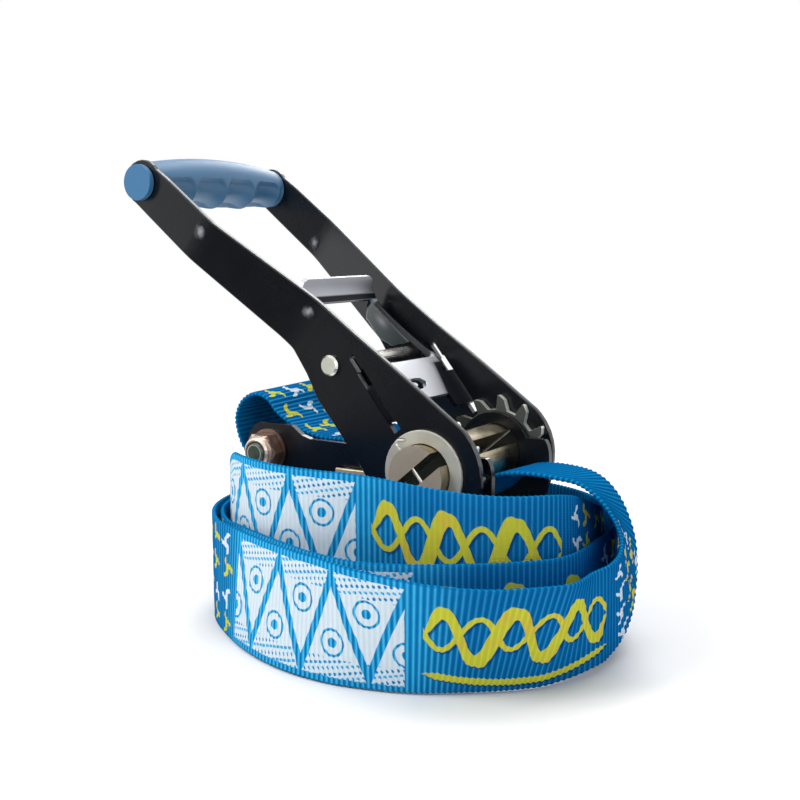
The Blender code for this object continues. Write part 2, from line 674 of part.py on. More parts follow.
def arm_sections():
    """Stations of a handle arm along u: lower and upper edge, and how far the arm stands out."""
    rows = []
    for i in range(NOSE_STEPS):
        a = math.radians(RIGHT_ANGLE * (i + NOSE_FIRST_SHARE) / NOSE_STEPS)
        rows.append((-ARM_NOSE_R * math.cos(a), -ARM_NOSE_R * math.sin(a), ARM_NOSE_R * math.sin(a)))
    rows.append((0.0, -ARM_NOSE_R, ARM_NOSE_R))
    along = [u * MM for u in ARM_STATIONS]
    for crease in (JOGGLE_START, JOGGLE_END):
        along += [crease + CREASE * (2.0 * i / CREASE_STEPS - 1.0) for i in range(CREASE_STEPS + 1)]
    along.append(GRIP_START_U)
    rows += [(u, between(ARM_LOW, u), between(ARM_TOP, u)) for u in along]
    for i in range(TIP_STEPS + 1):
        a = math.radians(TIP_FROM + (TIP_TO - TIP_FROM) * i / TIP_STEPS)
        reach = ARM_TIP_R * math.sin(a)
        rows.append((GRIP_U + ARM_TIP_R * math.cos(a), GRIP_V - reach, GRIP_V + reach))
    return rows


def arm_mesh(sign):
    """A handle arm with chamfered edges, stepped outward towards the grip."""
    rings = []
    for u, low, high in arm_sections():
        off = joggle(u)
        inner = (ARM_IN + off) * sign
        outer = (ARM_OUT + off) * sign
        cut = ARM_CHAMFER * sign
        drop = min(ARM_CHAMFER, (high - low) * HALF * HALF)
        section = ((low + drop, inner), (low, inner + cut), (low, outer - cut), (low + drop, outer),
                   (high - drop, outer), (high, outer - cut), (high, inner + cut), (high - drop, inner))
        ring = []
        for v, y in section:
            x, z = handle_point(u, v)
            ring.append((x, y, z))
        rings.append(ring)
    return loft_mesh(rings)


def slide_line(radius, across):
    """A point at a distance from the spindle along the slots' line, moved across it, in the side plane."""
    a = math.radians(SLIDE_ANGLE)
    u = radius * math.cos(a) - across * math.sin(a)
    return handle_point(u, radius * math.sin(a) + across * math.cos(a))


def grip_section(y):
    """One ring of the grip: a crowned top and, below, finger hollows."""
    share = y / GRIP_HALF_Y
    crown = GRIP_CROWN * (1.0 - share * share)
    wave = HALF - HALF * math.cos(math.tau * FINGERS * (share * HALF + HALF))
    ends = smooth_step(0.0, GRIP_FADE_SHARE, 1.0 - abs(share))
    depth = GRIP_DEPTH + GRIP_SCALLOP * (1.0 - wave) * ends
    points = []
    for i in range(SMALL_ROUND_STEPS):
        a = math.tau * i / SMALL_ROUND_STEPS
        up = math.sin(a)
        reach = GRIP_END_R * math.cos(a) * (1.0 + crown / GRIP_END_R * HALF)
        height = (GRIP_END_R + crown) * up if up > 0 else depth * up
        # The grip's crown faces away from the spindle and up, so its own up leans along the handle
        lean = math.radians(HANDLE_ANGLE)
        u = GRIP_U + reach * math.cos(lean) + height * math.sin(lean)
        v = GRIP_V - reach * math.sin(lean) + height * math.cos(lean)
        x, z = handle_point(u, v)
        points.append((x, y, z))
    return points


def build_handle():
    """Arms, cross rod, grip with its rod and caps."""
    rod_x, rod_z = handle_point(ROD_U, ROD_V)
    grip_x, grip_z = handle_point(GRIP_U, GRIP_V)
    wide = ARM_OUT + JOGGLE_OUT + PLATE_T
    spindle_tool = cutter("spindle_bore", outline_mesh(circle(SHAFT_R + BORE_GAP, ROUND_STEPS), -wide, wide))
    edge = ((SLOT_FROM, SLOT_WIDE_HALF), (SLOT_STEP, SLOT_WIDE_HALF), (SLOT_STEP, SLOT_NARROW_HALF),
            (SLOT_TO, SLOT_NARROW_HALF))
    slot = [slide_line(r, -v) for r, v in edge] + [slide_line(r, v) for r, v in reversed(edge)]
    slot_tool = cutter("arm_slot", outline_mesh(slot, -wide, wide))
    rod_hole = circle(ROD_R + FIT_GAP, SMALL_ROUND_STEPS, rod_x, rod_z)
    rod_tool = cutter("cross_rod_bore", outline_mesh(rod_hole, -wide, wide))
    grip_hole = circle(GRIP_ROD_R + FIT_GAP, SMALL_ROUND_STEPS, grip_x, grip_z)
    grip_tool = cutter("grip_bore", outline_mesh(grip_hole, -wide, wide))
    for side, sign in (("near", -1), ("far", 1)):
        arm = place("handle_arm_" + side, arm_mesh(sign), HANDLE_PIVOT)
        for tool in (spindle_tool, slot_tool, rod_tool, grip_tool):
            join_with(arm, tool, "DIFFERENCE")
    shank_end = ARM_OUT + FIT_GAP
    head_end = shank_end + RIVET_T
    rings = []
    for y, radius in ((-head_end, RIVET_R - CHAMFER), (-head_end + CHAMFER, RIVET_R), (-shank_end, RIVET_R),
                      (-shank_end, ROD_R), (shank_end, ROD_R), (shank_end, RIVET_R),
                      (head_end - CHAMFER, RIVET_R), (head_end, RIVET_R - CHAMFER)):
        rings.append(ring_at(y, radius, SMALL_ROUND_STEPS, rod_x, rod_z))
    place("cross_rod", loft_mesh(rings), HANDLE_PIVOT)
    rod_end = CAP_IN - FIT_GAP
    rod_ring = circle(GRIP_ROD_R, SMALL_ROUND_STEPS, grip_x, grip_z)
    place("grip_rod", outline_mesh(rod_ring, -rod_end, rod_end), HANDLE_PIVOT)
    stations = [-GRIP_HALF_Y + GRIP_HALF_Y * 2.0 * i / GRIP_STATIONS for i in range(GRIP_STATIONS + 1)]
    grip = place("grip", loft_mesh([grip_section(y) for y in stations]), HANDLE_PIVOT)
    join_with(grip, grip_tool, "DIFFERENCE")
    for side, low, high in both_sides(CAP_IN, CAP_OUT):
        disc = outline_mesh(circle(CAP_R, ROUND_STEPS, grip_x, grip_z), low, high)
        cap = place("end_cap_" + side, disc, HANDLE_PIVOT)
        soften(cap, CHAMFER * HALF)


def strip_outline(path, thickness):
    """A bent sheet's edge-on outline: the path set off by half the thickness each way."""
    upper = []
    lower = []
    for i, (u, v) in enumerate(path):
        before = Vector(path[max(i - 1, 0)])
        after = Vector(path[min(i + 1, len(path) - 1)])
        run = (after - before).normalized()
        side = Vector((-run.y, run.x)) * thickness * HALF
        upper.append((u + side.x, v + side.y))
        lower.append((u - side.x, v - side.y))
    return upper + lower[::-1]


def plan_mesh(loop):
    """A plan in u and y, carried through the handle: laid down from the side plane, then turned to its angle."""
    mesh = outline_mesh(loop, -SLIDE_HALF, SLIDE_HALF)
    mesh.transform(Matrix.Rotation(math.radians(-RIGHT_ANGLE), 4, "X"))
    mesh.transform(Matrix.Scale(-1.0, 4, Vector((1.0, 0.0, 0.0))))
    mesh.flip_normals()
    mesh.transform(Matrix.Rotation(math.radians(HANDLE_ANGLE), 4, "Y"))
    return mesh


def build_slide():
    """The release slide: tip and ears in the arms' slots, plate, two legs round a window, finger bar."""
    a = math.radians(SLIDE_ANGLE)
    ear_end = SLIDE_EAR_END * math.cos(a)
    path = [(r * math.cos(a), r * math.sin(a)) for r in (SLIDE_TIP_R, SLIDE_EAR_END)]
    path += [(u * MM, v * MM) for u, v in SLIDE_PATH]
    edge = [handle_point(u, v) for u, v in strip_outline(path, SLIDE_T)]
    thing = place("release_slide", outline_mesh(edge, -SLIDE_EAR_OUT, SLIDE_EAR_OUT), SLIDE_TRACK)
    near = SLIDE_TIP_R - SLIDE_TRAVEL
    far = SLIDE_PATH[-1][0] * MM + SLIDE_T
    half = [(near, SLIDE_EAR_OUT + OVERRUN), (ear_end, SLIDE_EAR_OUT + OVERRUN), (ear_end, SLIDE_PLATE_HALF),
            (ear_end + SLIDE_CORNER, SLIDE_HALF), (far - SLIDE_CORNER, SLIDE_HALF),
            (far - SLIDE_CORNER * HALF, SLIDE_HALF - SLIDE_CORNER * HALF * HALF),
            (far, SLIDE_HALF - SLIDE_CORNER)]
    plan = half + [(u, -y) for u, y in reversed(half)]
    notch = [(near, -SLIDE_NOTCH_HALF), (SLIDE_NOTCH_U, -SLIDE_NOTCH_HALF),
             (SLIDE_NOTCH_U, SLIDE_NOTCH_HALF), (near, SLIDE_NOTCH_HALF)]
    window = [(SLIDE_WINDOW_FROM, -SLIDE_WINDOW_HALF), (SLIDE_WINDOW_TO, -SLIDE_WINDOW_HALF),
              (SLIDE_WINDOW_TO, SLIDE_WINDOW_HALF), (SLIDE_WINDOW_FROM, SLIDE_WINDOW_HALF)]
    join_with(thing, cutter("slide_plan", plan_mesh(plan)), "INTERSECT")
    for name, loop in (("slide_window", window), ("slide_notch", notch)):
        join_with(thing, cutter(name, plan_mesh(loop)), "DIFFERENCE")
    side = [handle_point(u * MM, v * MM) for u, v in SLIDE_SIDE]
    for name, low, high in both_sides(SLIDE_WINDOW_HALF + SLIDE_SIDE_INSET, SLIDE_HALF - SLIDE_SIDE_INSET):
        join_with(thing, cutter("slide_side_" + name, outline_mesh(side, low, high)), "UNION")
    spots = []
    for u, v in ((RELEASE_SPRING_FROM, RELEASE_SPRING_V), (RELEASE_SPRING_TO, RELEASE_SPRING_V),
                 (RELEASE_HOOK_U, RELEASE_HOOK_V)):
        x, z = handle_point(u, v)
        spots.append(Vector((x, 0.0, z)))
    place("release_spring", coil_mesh(spots[0], spots[1], COIL_R, SPRING_TURNS, spots[2]), HANDLE_PIVOT)


def key_point(key):
    """A key of the webbing's route, or a point already in metres."""
    if isinstance(key, Vector):
        return key
    x, share, z = key
    return Vector((x * MM, share * WEB_Y, z * MM))


def spline_rails(keys, steps):
    """A smooth run through pairs of edge points, both edges kept the webbing's width apart."""
    rows = []
    for i in range(len(keys) - 1):
        around = [keys[max(i - 1, 0)], keys[i], keys[i + 1], keys[min(i + 2, len(keys) - 1)]]
        for j in range(steps + (1 if i == len(keys) - 2 else 0)):
            t = j / steps
            weights = ((-t + 2 * t * t - t * t * t) * HALF, (2 - 5 * t * t + 3 * t * t * t) * HALF,
                       (t + 4 * t * t - 3 * t * t * t) * HALF, (-t * t + t * t * t) * HALF)
            pair = []
            for edge in (0, 1):
                at = Vector((0.0, 0.0, 0.0))
                for weight, key in zip(weights, around):
                    at += key_point(key[edge]) * weight
                pair.append(at)
            top, low = pair
            rows.append((top, top + (low - top).normalized() * WEB_WIDTH))
    return rows


def webbing(name, rows):
    """Webbing over rows of edge pairs, thickened by a Solidify."""
    points = [p for row in rows for p in row]
    faces = [(2 * i, 2 * i + 1, 2 * i + 3, 2 * i + 2) for i in range(len(rows) - 1)]
    mesh = bpy.data.meshes.new(name)
    mesh.from_pydata(points, [], faces)
    thing = place(name, mesh)
    step = thing.modifiers.new("thickness", "SOLIDIFY")
    step.thickness = WEB_THICK
    step.offset = 0.0
    step.use_even_offset = True
    return thing


def ring_radius(angle):
    """Smooth reading of the ring's radius at an angle in degrees."""
    count = len(RING_SHARES)
    place_at = (angle % FULL_TURN) / FULL_TURN * count
    i = int(place_at)
    t = place_at - i
    a, b, c, d = (RING_SHARES[(i + k) % count] for k in (-1, 0, 1, 2))
    share = b + HALF * t * (c - a + t * (2 * a - 5 * b + 4 * c - d + t * (3 * (b - c) + d - a)))
    return share * RING_R


def bulge(angle, about, spread):
    """1 in one direction, falling to 0 at so many degrees to either side of it."""
    off = abs((angle - about + FULL_TURN * HALF) % FULL_TURN - FULL_TURN * HALF)
    return math.cos(math.radians(off * RIGHT_ANGLE / spread)) if off < spread else 0.0


def winding_row(turn):
    """The two edges of the winding after so many turns, clockwise from above, the lower one first."""
    angle = START_ANGLE - FULL_TURN * turn
    inset = LAYER_STEP * smooth_step(*LAYER_TURNS, turn) + UPPER_STEP * smooth_step(*UPPER_TURNS, turn)
    inset += UPPER_INSET * smooth_step(*INSET_TURNS, turn) * (1.0 - smooth_step(*OUTSET_TURNS, turn))
    lean = 0.0
    if turn < 1:
        inset -= START_OUTSET * (1.0 - smooth_step(*OUTSET_ANGLES, -angle))
        lean += START_LEAN_SHARE * (1.0 - smooth_step(*LEAN_ANGLES, -angle))
    if turn < FRONT_LEAN_TURNS:
        lean -= FRONT_LEAN_SHARE * bulge(angle, FRONT_ANGLE, FRONT_SPREAD)
    if turn > RIGHT_LEAN_TURNS:
        lean -= RIGHT_LEAN_SHARE * bulge(angle, RIGHT_SIDE_ANGLE, RIGHT_SPREAD)
    lift = BACK_LIFT * smooth_step(*BACK_TURNS, turn) + FOLD_LIFT * smooth_step(*FOLD_TURNS, turn)
    lift += FRONT_LIFT * smooth_step(*FRONT_TURNS, turn) - LEFT_DROP * smooth_step(*DROP_TURNS, turn)
    lift += abs(lean) * WEB_THICK * HALF
    a = math.radians(angle)
    out = Vector((math.cos(a), math.sin(a), 0.0))
    low = Vector((RING_CX, RING_CY, lift - SPINDLE_HEIGHT)) + out * (ring_radius(angle) - inset)
    top = low + (out * lean + Vector((0.0, 0.0, math.sqrt(1.0 - lean * lean)))) * WEB_WIDTH
    return low, top


# Edge points of the webbing about the spindle axis, near or upper edge first: x and z in millimetres, y as a
# share of half the webbing's width
EYE_KEYS = (
    ((-42.0, -1.0, 5.3), (-42.0, 1.0, 5.3)),
    ((-58.0, -1.0, 5.4), (-58.0, 1.0, 5.4)),
    ((-70.0, -1.0, 2.6), (-70.0, 1.0, 2.6)),
    ((-80.0, -1.0, -5.6), (-80.0, 1.0, -5.6)),
    ((-90.0, -1.0, -9.9), (-90.0, 1.0, -9.9)),
    ((-101.0, -1.0, -8.0), (-101.0, 1.0, -8.0)),
    ((-109.0, -1.0, -2.0), (-109.0, 1.0, -2.0)),
    ((-113.2, -1.0, 5.5), (-113.2, 1.0, 5.5)),
    ((-114.6, -1.0, 14.5), (-113.8, 1.0, 15.5)),
    ((-110.6, -1.0, 22.4), (-108.0, 1.0, 24.2)),
    ((-103.0, -1.0, 26.2), (-99.0, 1.0, 28.2)),
    ((-95.4, -1.0, 24.4), (-90.4, 1.0, 27.2)),
    ((-90.0, -1.0, 18.8), (-84.0, 1.0, 21.6)),
    ((-84.0, -1.0, 14.9), (-78.4, 1.0, 16.2)),
    ((-76.0, -1.0, 11.2), (-71.5, 1.0, 11.6)),
    ((-64.0, -1.0, 8.6), (-62.0, 1.0, 8.6)),
    ((-50.0, -1.0, 8.4), (-49.0, 1.0, 8.4)),
    ((-42.0, -1.0, 7.0), (-42.0, 1.0, 7.0)),
    ((-32.0, -1.0, 0.6), (-32.0, 1.0, 0.6)),
    ((-22.0, -1.0, -6.2), (-22.0, 1.0, -6.2)),
    ((-12.5, -1.0, -13.0), (-12.5, 1.0, -13.0)),
    ((-4.0, -1.0, -17.4), (-4.0, 1.0, -17.4)),
    ((5.0, -1.0, -17.4), (5.0, 1.0, -17.4)),
    ((13.0, -1.0, -12.6), (13.0, 1.0, -12.6)),
    ((20.0, -1.0, -5.6), (18.0, 1.0, -7.4)),
)
ARCH_KEYS = (
    ((20.4, -1.0, -5.2), (18.4, 1.0, -7.1)),
    ((27.5, -1.0, -0.2), (25.0, 1.0, -3.6)),
    ((40.0, -1.0, 2.3), (38.0, 1.0, -2.6)),
    ((55.3, -1.0, 2.0), (52.0, 1.0, -4.6)),
    ((66.0, -1.0, 0.8), (61.5, 0.96, -10.5)),
    ((74.5, -1.02, -3.6), (69.0, 0.88, -20.5)),
    ((81.5, -1.04, -10.6), (75.5, 0.6, -34.0)),
    ((86.4, -1.14, -17.8), (79.5, 0.16, -52.0)),
    ((88.6, -1.4, -22.6), (81.2, -0.36, -62.0)),
    ((88.2, -1.76, -25.0), (80.6, -0.96, -67.0)),
    ((86.0, -2.16, -25.7), (78.4, -1.42, -70.4)),
)


def least_gap(rows):
    """Least distance between layers of the winding, skin to skin, measured on points across and along it."""
    along = []
    for low, top in rows:
        along.append([low.lerp(top, k / GAP_SPANS) for k in range(GAP_SPANS + 1)])
    skip = TURN_STEPS // 2
    least = WEB_WIDTH
    for i, mine in enumerate(along):
        for other_i in range(i + skip, len(along) - 1):
            other = along[other_i]
            after = along[other_i + 1]
            for p in mine:
                for q, r in zip(other, after):
                    span = r - q
                    t = min(max((p - q).dot(span) / span.length_squared, 0.0), 1.0)
                    least = min(least, (q + span * t - p).length)
    return least - WEB_THICK


def build_webbing():
    """The strap: the sewn eye and its run under the spindle, the arch over the ring, and the winding."""
    eye = spline_rails(EYE_KEYS, 2)
    webbing("webbing_eye", eye)
    count = int(TURNS * TURN_STEPS)
    winding = [winding_row(TURNS * i / count) for i in range(count + 1)]
    # The arch runs on smoothly into the winding, and stops just short of it
    onward = [(top, low) for low, top in (winding[0], winding[2])]
    arch = spline_rails((*ARCH_KEYS, *onward), ARCH_STEPS)[:-ARCH_STEPS]
    end_top, end_low = arch[-1]
    back_top, back_low = arch[-2]
    keep = 1.0 - END_GAP / (end_top - back_top).length
    arch[-1] = (back_top.lerp(end_top, keep), back_low.lerp(end_low, keep))
    webbing("webbing_arch", arch)
    webbing("webbing_winding", [(high, under) for under, high in winding])
    gap = least_gap(winding)
    print("least gap between layers of the winding, mm:", round(gap / MM, 2))
    length = 0.0
    for rows in (eye, arch, winding):
        middles = [(a + b) * HALF for a, b in rows]
        length += sum((q - p).length for p, q in zip(middles, middles[1:]))
    print("webbing length, mm:", round(length / MM))
    if gap < LEAST_GAP:
        print("the winding's layers are too close")


def settle():
    """Set the object down with its box centred over the origin and its lowest point on z = 0."""
    bpy.context.view_layer.update()
    graph = bpy.context.evaluated_depsgraph_get()
    low = Vector((1.0, 1.0, 1.0))
    high = Vector((-1.0, -1.0, -1.0))
    for thing in PARTS.objects:
        if thing.type != "MESH":
            continue
        shape = thing.evaluated_get(graph)
        for vertex in shape.data.vertices:
            at = shape.matrix_world @ vertex.co
            low = Vector(map(min, low, at))
            high = Vector(map(max, high, at))
    ROOT.location = (-(low.x + high.x) * HALF, -(low.y + high.y) * HALF, -low.z)
    print("box, mm:", [round((b - a) / MM, 2) for a, b in zip(low, high)])
    print("spindle axis, mm:", [round(c / MM, 3) for c in ROOT.location])
    bpy.context.view_layer.update()


build_frame()
build_lock()
build_spindle()
build_bolt()
build_handle()
build_slide()
build_webbing()
settle()
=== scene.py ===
"""Looks of the ratchet slackline: painted and plated steel, moulded grip, ribbed and printed webbing."""
import math
from functools import partialmethod

import bpy
from mathutils import Matrix, Vector
from mathutils.geometry import delaunay_2d_cdt


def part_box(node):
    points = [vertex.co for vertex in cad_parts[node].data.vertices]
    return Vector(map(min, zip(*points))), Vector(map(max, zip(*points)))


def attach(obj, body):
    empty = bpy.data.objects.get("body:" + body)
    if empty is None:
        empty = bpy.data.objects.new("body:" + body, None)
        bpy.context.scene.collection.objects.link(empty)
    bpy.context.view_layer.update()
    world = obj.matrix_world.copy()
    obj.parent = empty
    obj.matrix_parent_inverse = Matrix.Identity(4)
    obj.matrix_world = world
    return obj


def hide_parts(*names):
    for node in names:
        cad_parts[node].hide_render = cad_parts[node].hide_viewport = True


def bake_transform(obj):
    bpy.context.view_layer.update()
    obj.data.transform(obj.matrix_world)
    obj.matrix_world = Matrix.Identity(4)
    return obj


MM = 0.001

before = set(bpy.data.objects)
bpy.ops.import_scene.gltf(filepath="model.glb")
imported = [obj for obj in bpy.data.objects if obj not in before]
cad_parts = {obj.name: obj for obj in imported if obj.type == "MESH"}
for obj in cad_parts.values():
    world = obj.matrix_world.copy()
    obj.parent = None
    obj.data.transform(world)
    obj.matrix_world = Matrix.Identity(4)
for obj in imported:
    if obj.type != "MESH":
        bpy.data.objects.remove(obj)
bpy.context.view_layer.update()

# The middle of the spindle
near_low, near_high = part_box("retaining_washer_near")
far_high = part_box("retaining_washer_far")[1]
SPINDLE = Vector((
    (near_low[0] + near_high[0]) / 2,
    (near_low[1] + far_high[1]) / 2,
    (near_low[2] + near_high[2]) / 2,
))

# The handle's own directions: u along it from the spindle, v out of its upper side
HANDLE_ANGLE = math.radians(40.85)
U = Vector((-math.cos(HANDLE_ANGLE), 0.0, math.sin(HANDLE_ANGLE)))
V = Vector((math.sin(HANDLE_ANGLE), 0.0, math.cos(HANDLE_ANGLE)))
Y = Vector((0.0, 1.0, 0.0))


def at_handle(u, v, y=0.0):
    """A point along the handle, out of it and across it from the spindle, in millimetres."""
    return SPINDLE + U * u * MM + V * v * MM + Y * y * MM


class Maths:
    """A number in a shader: arithmetic on it adds Math nodes to the tree."""

    def __init__(self, tree, socket):
        self.tree = tree
        self.socket = socket

    def node(self, operation, *others, clamp=False):
        """The result of one more Math node, fed by this number and the others."""
        made = self.tree.nodes.new("ShaderNodeMath")
        made.operation = operation
        made.use_clamp = clamp
        for place, value in enumerate((self, *others)):
            if isinstance(value, Maths):
                self.tree.links.new(value.socket, made.inputs[place])
            else:
                made.inputs[place].default_value = value
        return Maths(self.tree, made.outputs[0])

    __add__ = partialmethod(node, "ADD")
    __sub__ = partialmethod(node, "SUBTRACT")
    __mul__ = partialmethod(node, "MULTIPLY")
    __truediv__ = partialmethod(node, "DIVIDE")
    abs = partialmethod(node, "ABSOLUTE")
    max = partialmethod(node, "MAXIMUM")
    min = partialmethod(node, "MINIMUM")
    sin = partialmethod(node, "SINE")
    cos = partialmethod(node, "COSINE")
    mod = partialmethod(node, "FLOORED_MODULO")
    floor = partialmethod(node, "FLOOR")
    power = partialmethod(node, "POWER")
    root = partialmethod(node, "SQRT")

    def hypot(self, other):
        return (self * self + other * other).root()

    def clamped(self):
        """The number, kept between 0 and 1."""
        return self.node("ADD", 0.0, clamp=True)

    def rising(self, start, width):
        """0 up to start, 1 from a width further on, and a straight ramp between."""
        return ((self - start) / width).clamped()

    def falling(self, end, width):
        """1 up to a width before end, 0 from end on, and a straight ramp between."""
        return ((self * -1.0 + end) / width).clamped()

    def s_curve(self):
        """A ramp from 0 to 1 with both its ends eased."""
        return self * self * (self * -2.0 + 3.0)

    def outside(self, low, high):
        """Distance out of a span, under zero within it."""
        return (self - (low + high) / 2).abs() - (high - low) / 2

    def inside(self, soft):
        """1 where this distance is under zero, 0 above, with a soft edge."""
        return (self * (-1.0 / soft) + 0.5).clamped()

    def invert(self):
        return self * -1.0 + 1.0


def new_material(name):
    """A node material and its Principled shader."""
    made = bpy.data.materials.new(name)
    made.use_nodes = True
    return made, made.node_tree, made.node_tree.nodes["Principled BSDF"]


def feed(node, values):
    """Give a node's named inputs a fixed value, or link them to a number or a socket."""
    for name, value in values.items():
        if isinstance(value, Maths):
            value = value.socket
        if isinstance(value, bpy.types.NodeSocket):
            node.id_data.links.new(value, node.inputs[name])
        else:
            node.inputs[name].default_value = value


def shaded_point(tree, kind="Object"):
    """Coordinates of the point that is shaded, the object's own unless another kind is named."""
    return tree.nodes.new("ShaderNodeTexCoord").outputs[kind]


def split_vector(tree, vector):
    """The X, Y and Z of a vector's socket."""
    split = tree.nodes.new("ShaderNodeSeparateXYZ")
    feed(split, {"Vector": vector})
    return [Maths(tree, split.outputs[axis]) for axis in range(3)]


def vector_maths(tree, operation, fixed):
    """A number from the shaded point and a fixed vector."""
    made = tree.nodes.new("ShaderNodeVectorMath")
    made.operation = operation
    tree.links.new(shaded_point(tree), made.inputs[0])
    made.inputs[1].default_value = fixed
    return Maths(tree, made.outputs["Value"])


def object_noise(tree, scale, detail):
    """Noise fixed to the object's own coordinates."""
    noise = tree.nodes.new("ShaderNodeTexNoise")
    feed(noise, {"Scale": scale, "Detail": detail, "Vector": shaded_point(tree)})
    return Maths(tree, noise.outputs["Fac"])


# Sockets of a Mix node that mixes colours: inputs and result
MIX_INPUTS = (6, 7)
MIX_RESULT = 2


def blend_colour(tree, factor, first, second):
    """A mix of two colours, each a tuple or another colour's socket."""
    mix = tree.nodes.new("ShaderNodeMix")
    mix.data_type = "RGBA"
    tree.links.new(factor.socket, mix.inputs[0])
    for place, value in zip(MIX_INPUTS, (first, second)):
        if isinstance(value, tuple):
            mix.inputs[place].default_value = (*value, 1.0)
        else:
            tree.links.new(value, mix.inputs[place])
    return mix.outputs[MIX_RESULT]


def add_bump(tree, shader, height, strength, distance):
    """Bump from a height in the shader, over a real distance, on top of any bump that is there."""
    bump = tree.nodes.new("ShaderNodeBump")
    for link in shader.inputs["Normal"].links:
        feed(bump, {"Normal": link.from_socket})
    feed(bump, {"Strength": strength, "Distance": distance, "Height": height})
    feed(shader, {"Normal": bump.outputs["Normal"]})


# Pressing marks at the arms' bends, bumped and lightened with a painted highlight: along the handle, out of
# it and across it, in millimetres
PRESS_MARKS = ((152.5, 5.0, -49.9), (90.0, 12.0, -36.9), (153.5, -3.0, 46.5), (89.0, -1.0, 34.0))
PRESS_MARK_R = 3.9 * MM
PRESS_MARK_HEIGHT = 0.5 * MM
PRESS_MARK_HIGHLIGHT = (0.300, 0.320, 0.350)
PAINT_DARK = (0.0030, 0.0034, 0.0056)
PAINT_LIGHT = (0.0052, 0.0058, 0.0090)
# Scales of the noise in the paint: clouds of gloss, ragged edges of the marks, and orange peel
PAINT_CLOUD, PAINT_MARK_EDGE, PAINT_PEEL = 45.0, 330.0, 420.0
PEEL_DEPTH = 0.2 * MM


def painted_steel():
    """Glossy black paint with a slight orange peel, uneven gloss, and pressing marks at the bends that carry
    a painted highlight.
    """
    made, tree, shader = new_material("black_paint")
    cloud = object_noise(tree, PAINT_CLOUD, 3.0)
    colour = blend_colour(tree, cloud, PAINT_DARK, PAINT_LIGHT)
    feed(shader, {
        "Roughness": cloud * 0.10 + 0.22,
        "Specular IOR Level": 0.55,
        "Coat Weight": 0.12,
        "Coat Roughness": 0.16,
    })
    add_bump(tree, shader, object_noise(tree, PAINT_PEEL, 2.0), 0.12, PEEL_DEPTH)
    mark_edge_noise = object_noise(tree, PAINT_MARK_EDGE, 2.0) * 0.9
    marks = None
    for place in PRESS_MARKS:
        away = vector_maths(tree, "DISTANCE", at_handle(*place))
        mark = (away / -PRESS_MARK_R + mark_edge_noise + 0.55).clamped().s_curve()
        marks = mark if marks is None else marks + mark
    # The marks' lighter colour is a painted highlight
    feed(shader, {"Base Color": blend_colour(tree, marks * marks, colour, PRESS_MARK_HIGHLIGHT)})
    add_bump(tree, shader, marks, 1.0, PRESS_MARK_HEIGHT)
    return made


# Scales of the noise in plating: clouds of colour, and the fine grain of the steel under it
PLATE_CLOUD, GRAIN = 70.0, 900.0
GRAIN_DEPTH = 0.1 * MM
# A face counts as square to the spindle from this share of its normal on, over this much more
FACE_FROM, FACE_SOFT = 0.86, 1.0 / 9.0
FACE_METALLIC = 0.3
FACE_DULLER = 0.72


def plated_steel(name, light, dark, roughness, metallic=1.0, face=None):
    """Plated steel, uneven in colour and polish; face is the colour of faces square to the spindle."""
    made, tree, shader = new_material(name)
    cloud = object_noise(tree, PLATE_CLOUD, 5.0)
    spread = ((cloud - 0.35) * 3.2).clamped()
    colour = blend_colour(tree, spread, dark, light)
    fine = object_noise(tree, GRAIN, 3.0)
    rough = cloud * 0.18 + (roughness - 0.09) + fine * 0.08
    metal = metallic
    if face:
        normal_y = split_vector(tree, shaded_point(tree, "Normal"))[1]
        square = normal_y.abs().rising(FACE_FROM, FACE_SOFT)
        shade = spread * 0.35 + fine * 0.65
        dull = blend_colour(tree, shade, tuple(c * FACE_DULLER for c in face), face)
        colour = blend_colour(tree, square, colour, dull)
        metal = square * (FACE_METALLIC - metallic) + metallic
        rough = rough + square * 0.3
    feed(shader, {"Base Color": colour, "Metallic": metal, "Roughness": rough})
    add_bump(tree, shader, fine, 0.10, GRAIN_DEPTH)
    return made


def from_spindle(tree, direction):
    """How far the shaded point is along a direction from the spindle, in millimetres."""
    return (vector_maths(tree, "DOT_PRODUCT", direction) - SPINDLE.dot(direction)) * (1.0 / MM)


# Where the slide's looks change, in millimetres along the handle (U), out of it (V) and across it (Y).
# Its ears are painted black as shade beyond this half width, which grows by the taper each millimetre up to
# the plate
EAR_FROM_U = 52.0
EAR_HALF = 19.5
EAR_TAPER = 0.30
EAR_SOFT = 4.5
EAR_END_SOFT = 2.0
# The turned-down sides, in a colour of painted shade and painted reflection that is darker towards the
# plate's lower end
SIDE_BELOW_V = 6.0
SIDE_SOFT_V = 1.2
SIDE_BEYOND_Y = 27.0
SIDE_SOFT_Y = 1.0
SIDE_DARK_TO_U = 70.0
SIDE_FADE_U = 30.0
# A painted highlight on each of them
HIGHLIGHT_U, HIGHLIGHT_V = 88.0, 2.4
HIGHLIGHT_LONG, HIGHLIGHT_WIDE = 7.0, 3.4
# The legs are painted black as shade but for their inner edge, and so is the underside of the lip's bend
LEG_FROM_U = 48.0
LEG_LIGHT_TO = 28.2
LEG_OUTER = 29.5
LEG_SOFT = 0.4
BEND_DARK_V = 10.0
BEND_DARK_U = 97.5
BEND_SOFT = 0.5
LIP_FADE = 3.0
SLIDE_CLOUD = 60.0
PLATE_DARK, PLATE_LIGHT = (0.66, 0.67, 0.71), (0.74, 0.75, 0.79)
# The lip is the plate's zinc, painted darker as shade
LIP_SHADE_DARK, LIP_SHADE_LIGHT = (0.38, 0.39, 0.42), (0.45, 0.46, 0.50)
SIDE_SHADE_DARK, SIDE_SHADE_LIGHT = (0.15, 0.18, 0.185), (0.46, 0.50, 0.50)
HIGHLIGHT_COLOUR = (0.86, 0.89, 0.92)
SHADE_BLACK = (0.004, 0.005, 0.008)


